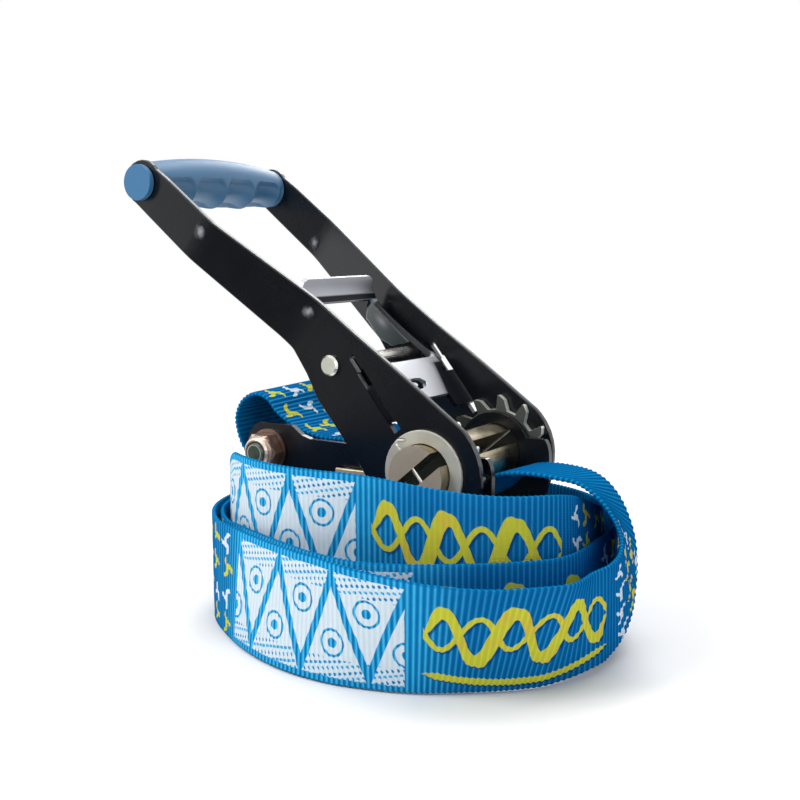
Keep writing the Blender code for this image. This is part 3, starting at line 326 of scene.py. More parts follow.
def slide_steel():
    """Satin zinc on the slide's plate and lip, with painted shade: the lip darker, the ears, legs and bend's
    underside black, the turned-down sides darker, and a painted highlight on each side.
    """
    made, tree, shader = new_material("slide_zinc")
    cloud = object_noise(tree, SLIDE_CLOUD, 3.0)
    fine = object_noise(tree, GRAIN, 3.0)
    u = from_spindle(tree, U)
    v = from_spindle(tree, V)
    y = from_spindle(tree, Y).abs()
    plate_colour = blend_colour(tree, cloud, PLATE_DARK, PLATE_LIGHT)
    lip_shade_colour = blend_colour(tree, cloud, LIP_SHADE_DARK, LIP_SHADE_LIGHT)
    colour = blend_colour(tree, u.rising(BEND_DARK_U, LIP_FADE), plate_colour, lip_shade_colour)
    # The sides' colour is painted shade and painted reflection on the same zinc, darker towards the plate
    side = v.falling(SIDE_BELOW_V, SIDE_SOFT_V) * y.rising(SIDE_BEYOND_Y, SIDE_SOFT_Y)
    side_shade_colour = blend_colour(tree, u.rising(SIDE_DARK_TO_U, SIDE_FADE_U), SIDE_SHADE_DARK, SIDE_SHADE_LIGHT)
    colour = blend_colour(tree, side, colour, side_shade_colour)
    # A painted highlight on each turned-down side
    off_spot = ((u - HIGHLIGHT_U) / HIGHLIGHT_LONG).hypot((v - HIGHLIGHT_V) / HIGHLIGHT_WIDE)
    side_highlight = (off_spot * -1.0 + cloud * 0.6 + 0.75).clamped()
    colour = blend_colour(tree, side_highlight * side_highlight * side, colour, HIGHLIGHT_COLOUR)
    # Painted shade: the ears, the legs and the underside of the lip's bend are made black and not metal
    ear = ((y - EAR_HALF - (u - EAR_FROM_U) * EAR_TAPER) / EAR_SOFT).clamped()
    ear = ear * u.falling(EAR_FROM_U, EAR_END_SOFT)
    leg = (y.rising(LEG_LIGHT_TO, LEG_SOFT) * side.invert() * 0.92).max(y.rising(LEG_OUTER, LEG_SOFT))
    leg = leg * u.falling(BEND_DARK_U, 1.0) * u.rising(LEG_FROM_U, 1.0)
    bend = v.falling(BEND_DARK_V, BEND_SOFT) * u.rising(BEND_DARK_U, 1.0)
    black = ear.max(leg).max(bend)
    feed(shader, {
        "Base Color": blend_colour(tree, black, colour, SHADE_BLACK),
        "Metallic": black.invert(),
        "Specular IOR Level": black.invert() * 0.38 + 0.12,
        "Roughness": fine * 0.08 + 0.36 - side * 0.10,
    })
    add_bump(tree, shader, fine, 0.05, GRAIN_DEPTH)
    return made


# Scales of the noise in moulded plastic: clouds of colour, and spark-eroded grain
PLASTIC_CLOUD, PLASTIC_GRAIN = 30.0, 1500.0


def moulded_blue(name, base, light):
    """Matt moulded plastic with a fine spark-eroded grain."""
    made, tree, shader = new_material(name)
    cloud = object_noise(tree, PLASTIC_CLOUD, 3.0)
    feed(shader, {
        "Base Color": blend_colour(tree, cloud, base, light),
        "Roughness": 0.42,
        "Specular IOR Level": 0.5,
        "Subsurface Weight": 0.04,
        "Subsurface Radius": (1.0 * MM, 2.0 * MM, 4.0 * MM),
    })
    add_bump(tree, shader, object_noise(tree, PLASTIC_GRAIN, 2.0), 0.10, GRAIN_DEPTH)
    return made


# Webbing print, in millimetres along (u) and across (v) the strap
PRINT_REPEAT = 279.0
PRINT_START = 91.0
PRINT_SOFT = 0.28
PRINT_MIDDLE_V = 25.0
RIB_PITCH = 2.4
WEFT_PITCH = 0.62
# White triangles between the turns of a zigzag, with a ring and a disc in each, and rows of dots at the edges
WHITE_FROM, WHITE_TO = 2.0, 100.0
WHITE_HALF_V = 21.8
BLOCK = 33.0
ZIGZAG_FROM_V = 5.0
ZIGZAG_RISE = 40.0
ZIGZAG_HALF = 1.7
RING_V = 17.5
RING_RISE = 15.0
RING_LINE_R, RING_LINE_HALF = 5.4, 0.55
DISC_R = 2.1
DOT_PITCH = 2.6
DOT_R = 0.72
DOTS_BEYOND_V = 14.0
# Yellow waves: a thick one woven with a thin one, over a bowed line; the thick and the bowed one taper off
WAVE_FROM, WAVE_TO = 107.0, 187.0
WAVE_PITCH = 26.7
WAVE_TAPER = 420.0
THICK_V, THICK_SWING = 27.5, 11.0
THICK_HALF, THICK_LEAN = 2.7, 0.9
THIN_V, THIN_SWING, THIN_HALF = 29.0, 7.5, 1.15
SWOOSH_V, SWOOSH_HALF, SWOOSH_BOW = 5.0, 1.5, 0.0032
SHADE_SHIFT, SHADE_SOFT = 0.9, 0.5
# Flecks, one in each cell of a grid, and how far each may stray from its middle
FLECK_FROM, FLECK_TO = 193.0, 276.0
FLECK_HALF_V = 24.0
CELL_U, CELL_V = 13.8, 12.4
CELL_SHIFT_V = 0.6
STRAY_U, STRAY_V = 3.4, 2.6
FLECK_R, FLECK_R_MORE = 5.4, 1.3
# The stretch where the print covers the ground, with ends that fade
COVERED_MIDDLE, COVERED_HALF, COVERED_FADE = 196.0, 92.0, 20.0
# Colours of the dyed yarn and of the inks, each on the ribs and down between them, where they are darker as
# painted shade; the dye's rib colour is a painted highlight
DYE_LOW, DYE_HIGH = (0.010, 0.350, 0.720), (0.028, 0.500, 0.860)
DYE_COVERED = (0.002, 0.152, 0.400)
DYE_RIB_HIGHLIGHT, DYE_GROOVE_SHADE = (0.180, 0.620, 0.900), (0.002, 0.078, 0.275)
DYE_SHADE = (0.002, 0.040, 0.170)
WHITE_INK, WHITE_GROOVE_SHADE = (0.720, 0.800, 0.850), (0.380, 0.560, 0.680)
YELLOW_INK, YELLOW_WARM = (0.660, 0.640, 0.040), (0.740, 0.480, 0.055)
YELLOW_GROOVE_SHADE = (0.280, 0.380, 0.070)
PLAIN_RIB, PLAIN_GROOVE_SHADE = (0.006, 0.245, 0.520), (0.001, 0.060, 0.220)
WEAVE_DEPTH = 0.5 * MM
# Scales of the noise in the strap, for the print's wobbling edges and for patches of warmer yellow
WOBBLE_SCALE, TONE_SCALE = 260.0, 95.0
WOBBLE_U, WOBBLE_V = 0.9, 0.7


def white_print(u, v):
    """Where white ink lies: a row of triangles, up and down in turn, each with a ring and a disc let out."""
    saw = (u - WHITE_FROM).mod(BLOCK) - BLOCK / 2
    slope = ZIGZAG_RISE / (BLOCK / 2)
    zigzag = saw.abs() * slope + ZIGZAG_FROM_V
    gap = (v - zigzag).abs() / math.hypot(slope, 1.0) - ZIGZAG_HALF
    field = u.outside(WHITE_FROM, WHITE_TO).max((v - PRINT_MIDDLE_V).abs() - WHITE_HALF_V)
    above = (v - zigzag).inside(0.5).invert()
    centre_v = above * RING_RISE + RING_V
    next_saw = (u - WHITE_FROM + BLOCK / 2).mod(BLOCK) - BLOCK / 2
    reach = (saw * above + next_saw * above.invert()).hypot(v - centre_v)
    ring = (reach - RING_LINE_R).abs() - RING_LINE_HALF
    dot_u = (u + v * 0.5).mod(DOT_PITCH) - DOT_PITCH / 2
    dot_v = (v - u * 0.2).mod(DOT_PITCH) - DOT_PITCH / 2
    dots = (dot_u.hypot(dot_v) - DOT_R).max((v - PRINT_MIDDLE_V).abs() * -1.0 + DOTS_BEYOND_V)
    mask = field.inside(PRINT_SOFT)
    for cut in (gap, ring, reach - DISC_R, dots):
        mask = mask * cut.inside(PRINT_SOFT).invert()
    return mask


def wave_distance(u, v):
    """Distance out of the yellow print: a thick wave woven with a thin one over a long bowed line."""
    turn = (u - WAVE_FROM) * (math.tau / WAVE_PITCH)
    taper = ((u - WAVE_FROM) * ((u - WAVE_TO) * -1.0) / WAVE_TAPER).clamped()
    lean = turn.cos()
    steep = lean * lean
    thick_half = (lean * THICK_LEAN + THICK_HALF) * taper
    thick = (v - turn.sin() * THICK_SWING - THICK_V).abs() / (steep * 6.0 + 1.0).root() - thick_half
    thin = (v + turn.sin() * THIN_SWING - THIN_V).abs() / (steep * 2.8 + 1.0).root() - THIN_HALF
    bow = u - (WAVE_FROM + WAVE_TO) / 2
    swoosh = (v - bow * bow * SWOOSH_BOW - SWOOSH_V).abs() - (taper * SWOOSH_HALF + 0.1)
    return thick.min(thin).min(swoosh).max(u.outside(WAVE_FROM, WAVE_TO))


def fleck_print(tree, u, v):
    """Where the three-armed flecks lie, one in each cell of a loose grid, and which of them are white."""
    cell_u = (u / CELL_U).floor()
    cell_v = ((v + CELL_SHIFT_V) / CELL_V).floor()
    cell = tree.nodes.new("ShaderNodeCombineXYZ")
    feed(cell, {"X": cell_u, "Y": cell_v})
    chance = tree.nodes.new("ShaderNodeTexWhiteNoise")
    chance.noise_dimensions = "2D"
    feed(chance, {"Vector": cell.outputs["Vector"]})
    parts = tree.nodes.new("ShaderNodeSeparateColor")
    feed(parts, {"Color": chance.outputs["Color"]})
    pick, spin, shift = (Maths(tree, parts.outputs[k]) for k in range(3))
    du = u - (cell_u + 0.5) * CELL_U - (shift - 0.5) * STRAY_U
    dv = v + CELL_SHIFT_V - (cell_v + 0.5) * CELL_V - (spin - 0.5) * STRAY_V
    reach = du.hypot(dv)
    bent = dv.node("ARCTAN2", du) + reach * 0.16
    arms = (bent * 3.0 + spin * math.tau).cos().max(0.0).power(1.4) * 0.62
    ragged = (bent * 2.0 + pick * 5.0).cos() * 0.10
    fleck = reach - (arms + ragged + 0.30) * (pick * FLECK_R_MORE + FLECK_R)
    field = u.outside(FLECK_FROM, FLECK_TO).max((v - PRINT_MIDDLE_V).abs() - FLECK_HALF_V)
    return fleck.inside(PRINT_SOFT) * field.inside(PRINT_SOFT), (spin - 0.52).inside(0.02)


def webbing_material():
    """Ribbed blue webbing with a generic print: white triangles, yellow waves, and scattered flecks."""
    made, tree, shader = new_material("printed_webbing")
    uv = tree.nodes.new("ShaderNodeUVMap")
    uv.uv_map = "strap"
    along, across = (place * (1.0 / MM) for place in split_vector(tree, uv.outputs["UV"])[:2])

    # Weave: round ribs across the strap, and fine wefts over them
    rib = (along * (math.tau / RIB_PITCH)).cos() * 0.5 + 0.5
    weft = (across * (math.tau / WEFT_PITCH)).cos() * 0.5 + 0.5
    groove_shade = rib.power(1.5).invert()
    wobble = object_noise(tree, WOBBLE_SCALE, 3.0)
    u = (along - PRINT_START).mod(PRINT_REPEAT) + (wobble - 0.5) * WOBBLE_U
    v = across + (wobble - 0.5) * WOBBLE_V

    # The yellow has a dark edge to one side and below it
    yellow = wave_distance(u, v).inside(PRINT_SOFT)
    shade = wave_distance(u - SHADE_SHIFT, v + SHADE_SHIFT).inside(SHADE_SOFT)
    flecks, fleck_is_white = fleck_print(tree, u, v)

    # Ground: dyed blue, deeper where the print covers it, with a painted highlight on the rib tops and
    # painted shade down between the ribs
    covered = (u - COVERED_MIDDLE).abs().falling(COVERED_HALF, COVERED_FADE)
    cloth = blend_colour(tree, wobble, DYE_LOW, DYE_HIGH)
    cloth = blend_colour(tree, covered * 0.8, cloth, DYE_COVERED)
    cloth = blend_colour(tree, rib.power(5.0) * (covered * -0.6 + 1.0) * 0.30, cloth, DYE_RIB_HIGHLIGHT)
    cloth = blend_colour(tree, groove_shade * 0.78, cloth, DYE_GROOVE_SHADE)
    cloth = blend_colour(tree, shade * 0.75, cloth, DYE_SHADE)

    # Inks, darker between the ribs as painted shade
    white_ink = blend_colour(tree, groove_shade * 0.38, WHITE_INK, WHITE_GROOVE_SHADE)
    warm = ((object_noise(tree, TONE_SCALE, 2.0) - 0.52) * 6.0).clamped() * 0.6
    yellow_ink = blend_colour(tree, warm, YELLOW_INK, YELLOW_WARM)
    yellow_ink = blend_colour(tree, groove_shade * 0.32, yellow_ink, YELLOW_GROOVE_SHADE)
    fleck_ink = blend_colour(tree, fleck_is_white, yellow_ink, white_ink)
    cloth = blend_colour(tree, yellow * 0.97, cloth, yellow_ink)
    cloth = blend_colour(tree, white_print(u, v) * 0.96, cloth, white_ink)
    cloth = blend_colour(tree, flecks * 0.95, cloth, fleck_ink)

    # The print is on the outer face only: the inner face and the selvedges keep the dyed blue
    face = tree.nodes.new("ShaderNodeAttribute")
    face.attribute_name = "printed_side"
    # Painted shade between the ribs of the plain face too
    plain = blend_colour(tree, groove_shade * 0.78, PLAIN_RIB, PLAIN_GROOVE_SHADE)
    cloth = blend_colour(tree, Maths(tree, face.outputs["Fac"]), plain, cloth)
    feed(shader, {"Base Color": cloth, "Roughness": 0.62, "Specular IOR Level": 0.0})
    add_bump(tree, shader, weft * 0.35 + rib * 0.5 + wobble * 0.1, 0.6, WEAVE_DEPTH)
    return made


def ringed_steel(name, light, dark, roughness, metallic, rings):
    """Plated steel with rings of other colours about the frame's bolt."""
    made = plated_steel(name, light, dark, roughness, metallic=metallic)
    tree = made.node_tree
    shader = tree.nodes["Principled BSDF"]
    low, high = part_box("lock_nut")
    x, _, z = split_vector(tree, shaded_point(tree))
    radius = (x - (low[0] + high[0]) / 2).hypot(z - (low[2] + high[2]) / 2) * (1.0 / MM)
    colour = shader.inputs["Base Color"].links[0].from_socket
    for middle, half, tint in rings:
        band = ((radius - middle).abs() - half).inside(RING_SOFT)
        colour = blend_colour(tree, band, colour, tint)
    feed(shader, {"Base Color": colour})
    return made


# Rings on the nut and washer, and on the bolt's end, whose light ring is a painted highlight at its bevel:
# middle radius and half width in millimetres, and colour
NUT_RINGS = ((5.0, 0.35, (0.050, 0.036, 0.030)), (6.9, 0.9, (0.800, 0.660, 0.580)))
BOLT_HIGHLIGHT_RINGS = ((3.9, 0.30, (0.620, 0.640, 0.570)),)
RING_SOFT = 0.25

PAINT = painted_steel()
ZINC = plated_steel("yellow_zinc", (0.66, 0.60, 0.44), (0.30, 0.24, 0.14), 0.26, face=(0.50, 0.42, 0.33))
# The wheel's faces square to the spindle are painted dark as a painted reflection of the dark arms, and its
# flanks and rounded edges light as painted highlights
WHEEL_PAINTED_LIGHT = plated_steel("wheel_zinc_painted_light", (0.82, 0.83, 0.78), (0.60, 0.60, 0.54), 0.32, metallic=0.5,
                     face=(0.085, 0.094, 0.084))
CREAM = plated_steel("pale_zinc", (0.66, 0.64, 0.57), (0.52, 0.50, 0.43), 0.50, metallic=0.45)
BRASSY = ringed_steel("warm_zinc", (0.62, 0.47, 0.39), (0.22, 0.14, 0.11), 0.34, 0.8, NUT_RINGS)
BRIGHT = plated_steel("bright_zinc", (0.84, 0.83, 0.77), (0.66, 0.63, 0.54), 0.20, face=(0.66, 0.67, 0.58))
SLIDE = slide_steel()
DULL = ringed_steel("grey_zinc", (0.15, 0.19, 0.15), (0.06, 0.08, 0.06), 0.34, 1.0, BOLT_HIGHLIGHT_RINGS)
GRIP = moulded_blue("grip_blue", (0.042, 0.130, 0.250), (0.056, 0.160, 0.290))
CAP = moulded_blue("cap_blue", (0.034, 0.140, 0.290), (0.045, 0.170, 0.335))
WEBBING = webbing_material()


def smooth_faces(mesh, sharp=None):
    """Smooth shading, with edges sharper than an angle in degrees left crisp."""
    mesh.polygons.foreach_set("use_smooth", [True] * len(mesh.polygons))
    if sharp:
        mesh.set_sharp_from_angle(angle=math.radians(sharp))


def round_edges(piece, name, width, segments, degrees):
    """A bevel on the edges of a piece that are sharper than an angle."""
    bevel = piece.modifiers.new(name, "BEVEL")
    bevel.width = width
    bevel.segments = segments
    bevel.limit_method = "ANGLE"
    bevel.angle_limit = math.radians(degrees)
    bevel.harden_normals = True


# Looks of the pieces whose CAD shape is kept, and the rounding of their edges in millimetres
CAD_LOOKS = {
    "frame": (PAINT, 0.30), "handle_arm_near": (PAINT, 0.30), "handle_arm_far": (PAINT, 0.30),
    "bolt": (DULL, 0.35), "bolt_washer": (BRASSY, 0.25), "lock_nut": (BRASSY, 0.35),
    "spindle_half_upper": (ZINC, 0.45), "spindle_half_lower": (ZINC, 0.45), "lock_pawl": (ZINC, 0.30),
    "ratchet_wheel_near": (WHEEL_PAINTED_LIGHT, 0.50), "ratchet_wheel_far": (WHEEL_PAINTED_LIGHT, 0.50),
    "retaining_washer_near": (CREAM, 0.30), "retaining_washer_far": (CREAM, 0.30),
    "cotter_pin_near": (BRIGHT, 0), "cotter_pin_far": (BRIGHT, 0), "cross_rod": (BRIGHT, 0.30),
    "spacer_sleeve": (DULL, 0), "grip_rod": (DULL, 0), "end_cap_near": (CAP, 1.1), "end_cap_far": (CAP, 1.1),
}
CAD_SHARP = 32.0
ROUNDING_ANGLE = 40.0
for node, (look, rounding) in CAD_LOOKS.items():
    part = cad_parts[node]
    part.data.materials.clear()
    part.data.materials.append(look)
    smooth_faces(part.data, CAD_SHARP)
    if rounding:
        round_edges(part, "rounding", rounding * MM, 3, ROUNDING_ANGLE)


def link_object(name, data):
    """An object of the scene that carries some data."""
    made = bpy.data.objects.new(name, data)
    bpy.context.scene.collection.objects.link(made)
    return made


def make_piece(name, points, faces, look, body=None, sharp=None):
    """A smooth mesh, which rides a body where one is given."""
    mesh = bpy.data.meshes.new(name)
    mesh.from_pydata(points, [], faces)
    smooth_faces(mesh, sharp)
    mesh.materials.append(look)
    piece = link_object(name, mesh)
    if body:
        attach(piece, body)
    return piece


def lofted(sections):
    """Points and faces of a closed loft through rings of equal count."""
    count = len(sections[0])
    points = [p for ring in sections for p in ring]
    faces = [tuple(range(count))[::-1]]
    for i in range(len(sections) - 1):
        for j in range(count):
            k = (j + 1) % count
            faces.append((i * count + j, i * count + k, (i + 1) * count + k, (i + 1) * count + j))
    faces.append(tuple(range((len(sections) - 1) * count, len(sections) * count)))
    return points, faces


# Grip: crowned above, with finger hollows cut square into the side that faces the spindle and down
GRIP_U = 194.6 * MM
GRIP_V = -0.7 * MM
GRIP_HALF_Y = 46.4 * MM
GRIP_END_R = 9.6 * MM
GRIP_CROWN = 3.6 * MM
GRIP_DEPTH = 11.4 * MM
HOLLOW = 2.9 * MM
HOLLOW_PITCH = 22.2 * MM
HOLLOW_SHIFT = -1.4 * MM
HOLLOW_FACING = -48.0
HOLLOW_HALF_ANGLE = 57.0
# How squarely the hollows are cut along the grip, and the share of it at each end where they run out
HOLLOW_POWER = 2.4
HOLLOW_END = 0.05
# The hollows begin lower by this angle towards each ridge, and their edge is soft over these angles
RIDGE_ANGLE = 26.0
RIDGE_POWER = 6.0
HOLLOW_SOFT_IN = 2.0
HOLLOW_SOFT_OUT = 6.0
GRIP_STATIONS = 186
GRIP_POINTS = 96
GRIP_SHARP = 50.0


def smooth_step(low, high, value):
    """0 up to low, 1 from high on, and an S curve between."""
    share = min(max((value - low) / (high - low), 0.0), 1.0)
    return share * share * (3.0 - 2.0 * share)


def angle_off(angle, middle):
    """How far an angle is from another, in degrees, either way round."""
    return abs((angle - middle + 180.0) % 360.0 - 180.0)


def grip_ring(y):
    """One ring of the grip, about world +X and +Z."""
    share = y / GRIP_HALF_Y
    crown = GRIP_CROWN * (1.0 - share * share)
    across_hollow = ((y - HOLLOW_SHIFT) / HOLLOW_PITCH) % 1.0 - 0.5
    scoop = 1.0 - (2.0 * abs(across_hollow)) ** HOLLOW_POWER
    scoop *= smooth_step(0.0, HOLLOW_END, 1.0 - abs(share))
    middle = SPINDLE + U * GRIP_U + V * GRIP_V + Y * y
    ring = []
    for i in range(GRIP_POINTS):
        a = math.tau * i / GRIP_POINTS
        up = math.sin(a)
        reach = GRIP_END_R * math.cos(a) * (1.0 + crown / GRIP_END_R * 0.5)
        height = (GRIP_END_R + crown) * up if up > 0 else (GRIP_DEPTH + (crown - GRIP_CROWN) * 0.5) * up
        off = angle_off(math.degrees(a), HOLLOW_FACING)
        edge = HOLLOW_HALF_ANGLE - RIDGE_ANGLE * abs(2.0 * across_hollow) ** RIDGE_POWER
        depth = scoop * (1.0 - smooth_step(edge - HOLLOW_SOFT_IN, edge + HOLLOW_SOFT_OUT, off))
        shrink = 1.0 - HOLLOW * depth / GRIP_END_R
        ring.append(middle + Vector((reach * shrink, 0.0, height * shrink)))
    return ring


stations = [-GRIP_HALF_Y + GRIP_HALF_Y * 2.0 * i / GRIP_STATIONS for i in range(GRIP_STATIONS + 1)]
grip = make_piece("grip_moulding", *lofted([grip_ring(y) for y in stations]), GRIP, "handle", GRIP_SHARP)
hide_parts("grip")

# Release slide: a bent sheet with a window, rounded corners and turned-down sides
SLIDE_T = 2.2 * MM
SIDE_T = 2.0 * MM
SLIDE_HALF = 31.1 * MM
# Its path along and out of the handle, and its half plans along and across it, in millimetres
SLIDE_PATH = (
    (26.5, 5.24), (36.0, 7.1), (44.9, 8.9), (49.5, 9.6), (54.0, 9.8), (60.1, 8.8), (70.7, 7.6), (83.2, 6.6),
    (92.8, 6.4), (98.2, 7.0), (101.6, 8.9), (104.2, 11.9), (106.6, 16.2),
)
SLIDE_PLAN = (
    (33.4, 17.2), (32.8, 18.6), (31.4, 19.0), (27.2, 19.0), (26.5, 19.7), (26.5, 37.0), (27.1, 37.6),
    (44.2, 37.6), (44.9, 36.9), (44.9, 27.4), (45.5, 26.4), (46.6, 26.7), (49.9, 31.1), (101.0, 31.1),
    (103.9, 30.0), (106.0, 27.8), (106.6, 25.0),
)
WINDOW = ((54.0, 26.2), (54.7, 28.0), (56.6, 28.7), (95.8, 28.7), (97.8, 28.0), (98.6, 26.2))
HOOK_HOLE = (
    (43.4, -8.6), (44.2, -2.0), (43.7, 3.2), (41.6, 6.4), (39.3, 4.6), (38.2, -0.4),
    (38.4, -3.8), (39.6, -3.6), (40.4, -1.8), (41.6, -2.0), (42.2, -4.6), (42.0, -8.4),
)
# Lower edge of each turned-down side
SIDE_LOW = (
    (45.6, 4.8), (51.0, 5.2), (57.0, 6.9), (69.0, 6.2), (71.6, 1.8), (76.5, -3.4), (84.0, -5.0), (95.0, -3.0),
    (99.0, 1.6), (101.0, 5.4), (103.4, 10.2),
)
SIDE_RINGS = 70
SIDE_TUCK = SLIDE_T * 0.30
SIDE_SHARP = 40.0
PATH_STEPS = 8
# Triangles of the sheet: their pitch, columns to each side, and the least share of the pitch off an outline
PLAN_STEP = 1.4 * MM
PLAN_COLUMNS = 26
PLAN_CLEAR = 0.55
PLAN_TOLERANCE = 1e-7
RIM_R = 0.4 * MM
RIM_ANGLE = 50.0
CORNER_R = 0.5 * MM


def spline_weights(t):
    """How much each of four keys in a row counts at t between the middle two."""
    return (
        (-t + 2 * t * t - t * t * t) / 2,
        (2 - 5 * t * t + 3 * t * t * t) / 2,
        (t + 4 * t * t - 3 * t * t * t) / 2,
        (-t * t + t * t * t) / 2,
    )


def keys_around(keys, i):
    """The four keys around stretch i, the end ones repeated."""
    return [keys[max(i - 1, 0)], keys[i], keys[i + 1], keys[min(i + 2, len(keys) - 1)]]


def running_lengths(points):
    """How far along a line of points each of them is."""
    runs = [0.0]
    for p, q in zip(points, points[1:]):
        runs.append(runs[-1] + (q - p).length)
    return runs


def slide_line():
    """Points of the slide's smooth path, in the handle's directions."""
    keys = [Vector((u * MM, v * MM)) for u, v in SLIDE_PATH]
    dense = []
    for i in range(len(keys) - 1):
        for j in range(PATH_STEPS):
            weighed = zip(spline_weights(j / PATH_STEPS), keys_around(keys, i))
            dense.append(sum((key * w for w, key in weighed), Vector((0.0, 0.0))))
    return dense + [keys[-1]]


SLIDE_LINE = slide_line()
SLIDE_RUNS = running_lengths(SLIDE_LINE)


def run_at(u):
    """How far along the path its u, in millimetres, is reached."""
    for i in range(len(SLIDE_LINE) - 1):
        a, b = SLIDE_LINE[i].x, SLIDE_LINE[i + 1].x
        if u * MM <= b:
            return SLIDE_RUNS[i] + (SLIDE_RUNS[i + 1] - SLIDE_RUNS[i]) * max(u * MM - a, 0.0) / (b - a)
    return SLIDE_RUNS[-1]


def on_path(run, y, lift=0.0):
    """A point of the slide's sheet, so far along the path, across it and off it."""
    i = 0
    while i < len(SLIDE_RUNS) - 2 and SLIDE_RUNS[i + 1] < run:
        i += 1
    t = (run - SLIDE_RUNS[i]) / (SLIDE_RUNS[i + 1] - SLIDE_RUNS[i])
    flat = SLIDE_LINE[i].lerp(SLIDE_LINE[i + 1], t)
    before, after = SLIDE_LINE[max(i - 1, 0)], SLIDE_LINE[min(i + 2, len(SLIDE_LINE) - 1)]
    ahead = (after - before).normalized()
    flat = flat + Vector((-ahead.y, ahead.x)) * lift
    return SPINDLE + U * flat.x + V * flat.y + Y * y


def fine_loop(corners):
    """A closed outline with no stretch longer than the plan's step."""
    loop = []
    for p, q in zip(corners, corners[1:] + corners[:1]):
        pieces = max(1, math.ceil((q - p).length / PLAN_STEP))
        loop += [p.lerp(q, k / pieces) for k in range(pieces)]
    return loop


def inside_loop(point, loop):
    """Whether a plan point lies within an outline."""
    within = False
    for p, q in zip(loop, loop[1:] + loop[:1]):
        if (p.y > point.y) != (q.y > point.y):
            if point.x < p.x + (q.x - p.x) * (point.y - p.y) / (q.y - p.y):
                within = not within
    return within


def side_low(u):
    """Height of a turned-down side's lower edge at its u, both in millimetres."""
    for (u0, v0), (u1, v1) in zip(SIDE_LOW, SIDE_LOW[1:]):
        if u <= u1:
            return v0 + (v1 - v0) * smooth_step(u0, u1, u)
    return SIDE_LOW[-1][1]


def mirrored(half):
    """A closed outline from its half plan, laid out along the slide's path."""
    side = [Vector((run_at(u), y * MM)) for u, y in half]
    return side + [Vector((p.x, -p.y)) for p in reversed(side)]


def build_sheet():
    """The slide's plate, lip and ears in one bent sheet."""
    hole = [Vector((run_at(u), y * MM)) for u, y in HOOK_HOLE]
    loops = [fine_loop(mirrored(SLIDE_PLAN)), fine_loop(mirrored(WINDOW)), hole]

    def in_sheet(spot):
        """Whether a plan point lies in the sheet and in none of its openings."""
        return inside_loop(spot, loops[0]) and not any(inside_loop(spot, loop) for loop in loops[1:])

    spots, edges = [], []
    for loop in loops:
        first = len(spots)
        spots += loop
        edges += [(first + i, first + (i + 1) % len(loop)) for i in range(len(loop))]
    for i in range(int(SLIDE_RUNS[-1] / PLAN_STEP)):
        for j in range(-PLAN_COLUMNS, PLAN_COLUMNS + 1):
            spot = Vector(((i + 0.5) * PLAN_STEP, j * PLAN_STEP))
            if in_sheet(spot):
                if min((spot - p).length for loop in loops for p in loop) > PLAN_STEP * PLAN_CLEAR:
                    spots.append(spot)
    flat, _, triangles, _, _, _ = delaunay_2d_cdt(spots, edges, [], 0, PLAN_TOLERANCE)
    kept = []
    for triangle in triangles:
        middle = sum((flat[k] for k in triangle), Vector((0.0, 0.0))) / 3.0
        if in_sheet(middle):
            kept.append(tuple(triangle))
    sheet = make_piece("slide_sheet", [on_path(p.x, p.y) for p in flat], kept, SLIDE, "release")
    thick = sheet.modifiers.new("thickness", "SOLIDIFY")
    thick.thickness = SLIDE_T
    thick.offset = 0.0
    round_edges(sheet, "rim", RIM_R, 3, RIM_ANGLE)
    return sheet


def build_side(sign):
    """One turned-down side, from within the sheet to its lower edge."""
    inner, outer = sign * (SLIDE_HALF - SIDE_T), sign * SLIDE_HALF
    start, end = SIDE_LOW[0][0], SIDE_LOW[-1][0]
    rings = []
    for i in range(SIDE_RINGS + 1):
        u = start + (end - start) * i / SIDE_RINGS
        tops = [on_path(run_at(u), y, SIDE_TUCK) for y in (inner, outer)]
        lows = [at_handle(u, side_low(u)) + Y * y for y in (outer, inner)]
        ring = tops + lows
        rings.append(ring if sign > 0 else ring[::-1])
    side = make_piece("slide_side", *lofted(rings), SLIDE, "release", SIDE_SHARP)
    round_edges(side, "corner", CORNER_R, 2, SIDE_SHARP)
    return side


slide_sheet = build_sheet()
slide_sides = [build_side(-1.0), build_side(1.0)]
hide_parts("release_slide")

# The two springs.
# The release spring's ends and its hook lie along and out of the handle, in millimetres
SPRING_WIRE_R = 0.5 * MM
SPRING_COIL_R = 2.2 * MM
SPRING_TURNS = 5
SPRING_STEPS = 28
SPRING_SHARP = 60.0
WIRE_POINTS = 8
RELEASE_SPRING = ((43.0, 2.6), (60.8, 2.6))
RELEASE_HOOK = (43.0, 6.2)


def coil(name, start, end, bodies, hook=None):
    """A wire wound about the line from start to end; bodies is not used."""
    axis = (end - start).normalized()
    side = axis.cross(Y).normalized()
    other = axis.cross(side)
    path = [hook] if hook else []
    steps = SPRING_TURNS * SPRING_STEPS
    for i in range(steps + 1):
        a = math.tau * i / SPRING_STEPS
        path.append(start.lerp(end, i / steps) + (side * math.cos(a) + other * math.sin(a)) * SPRING_COIL_R)
    rings = []
    for i, at in enumerate(path):
        run = (path[min(i + 1, len(path) - 1)] - path[max(i - 1, 0)]).normalized()
        out = run.cross(axis).normalized()
        over = run.cross(out)
        turns = [math.tau * k / WIRE_POINTS for k in range(WIRE_POINTS)]
        rings.append([at + (out * math.cos(b) + over * math.sin(b)) * SPRING_WIRE_R for b in turns])
    wire = make_piece(name, *lofted(rings), BRIGHT, sharp=SPRING_SHARP)
    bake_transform(wire)
    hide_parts(name.replace("wire_", ""))


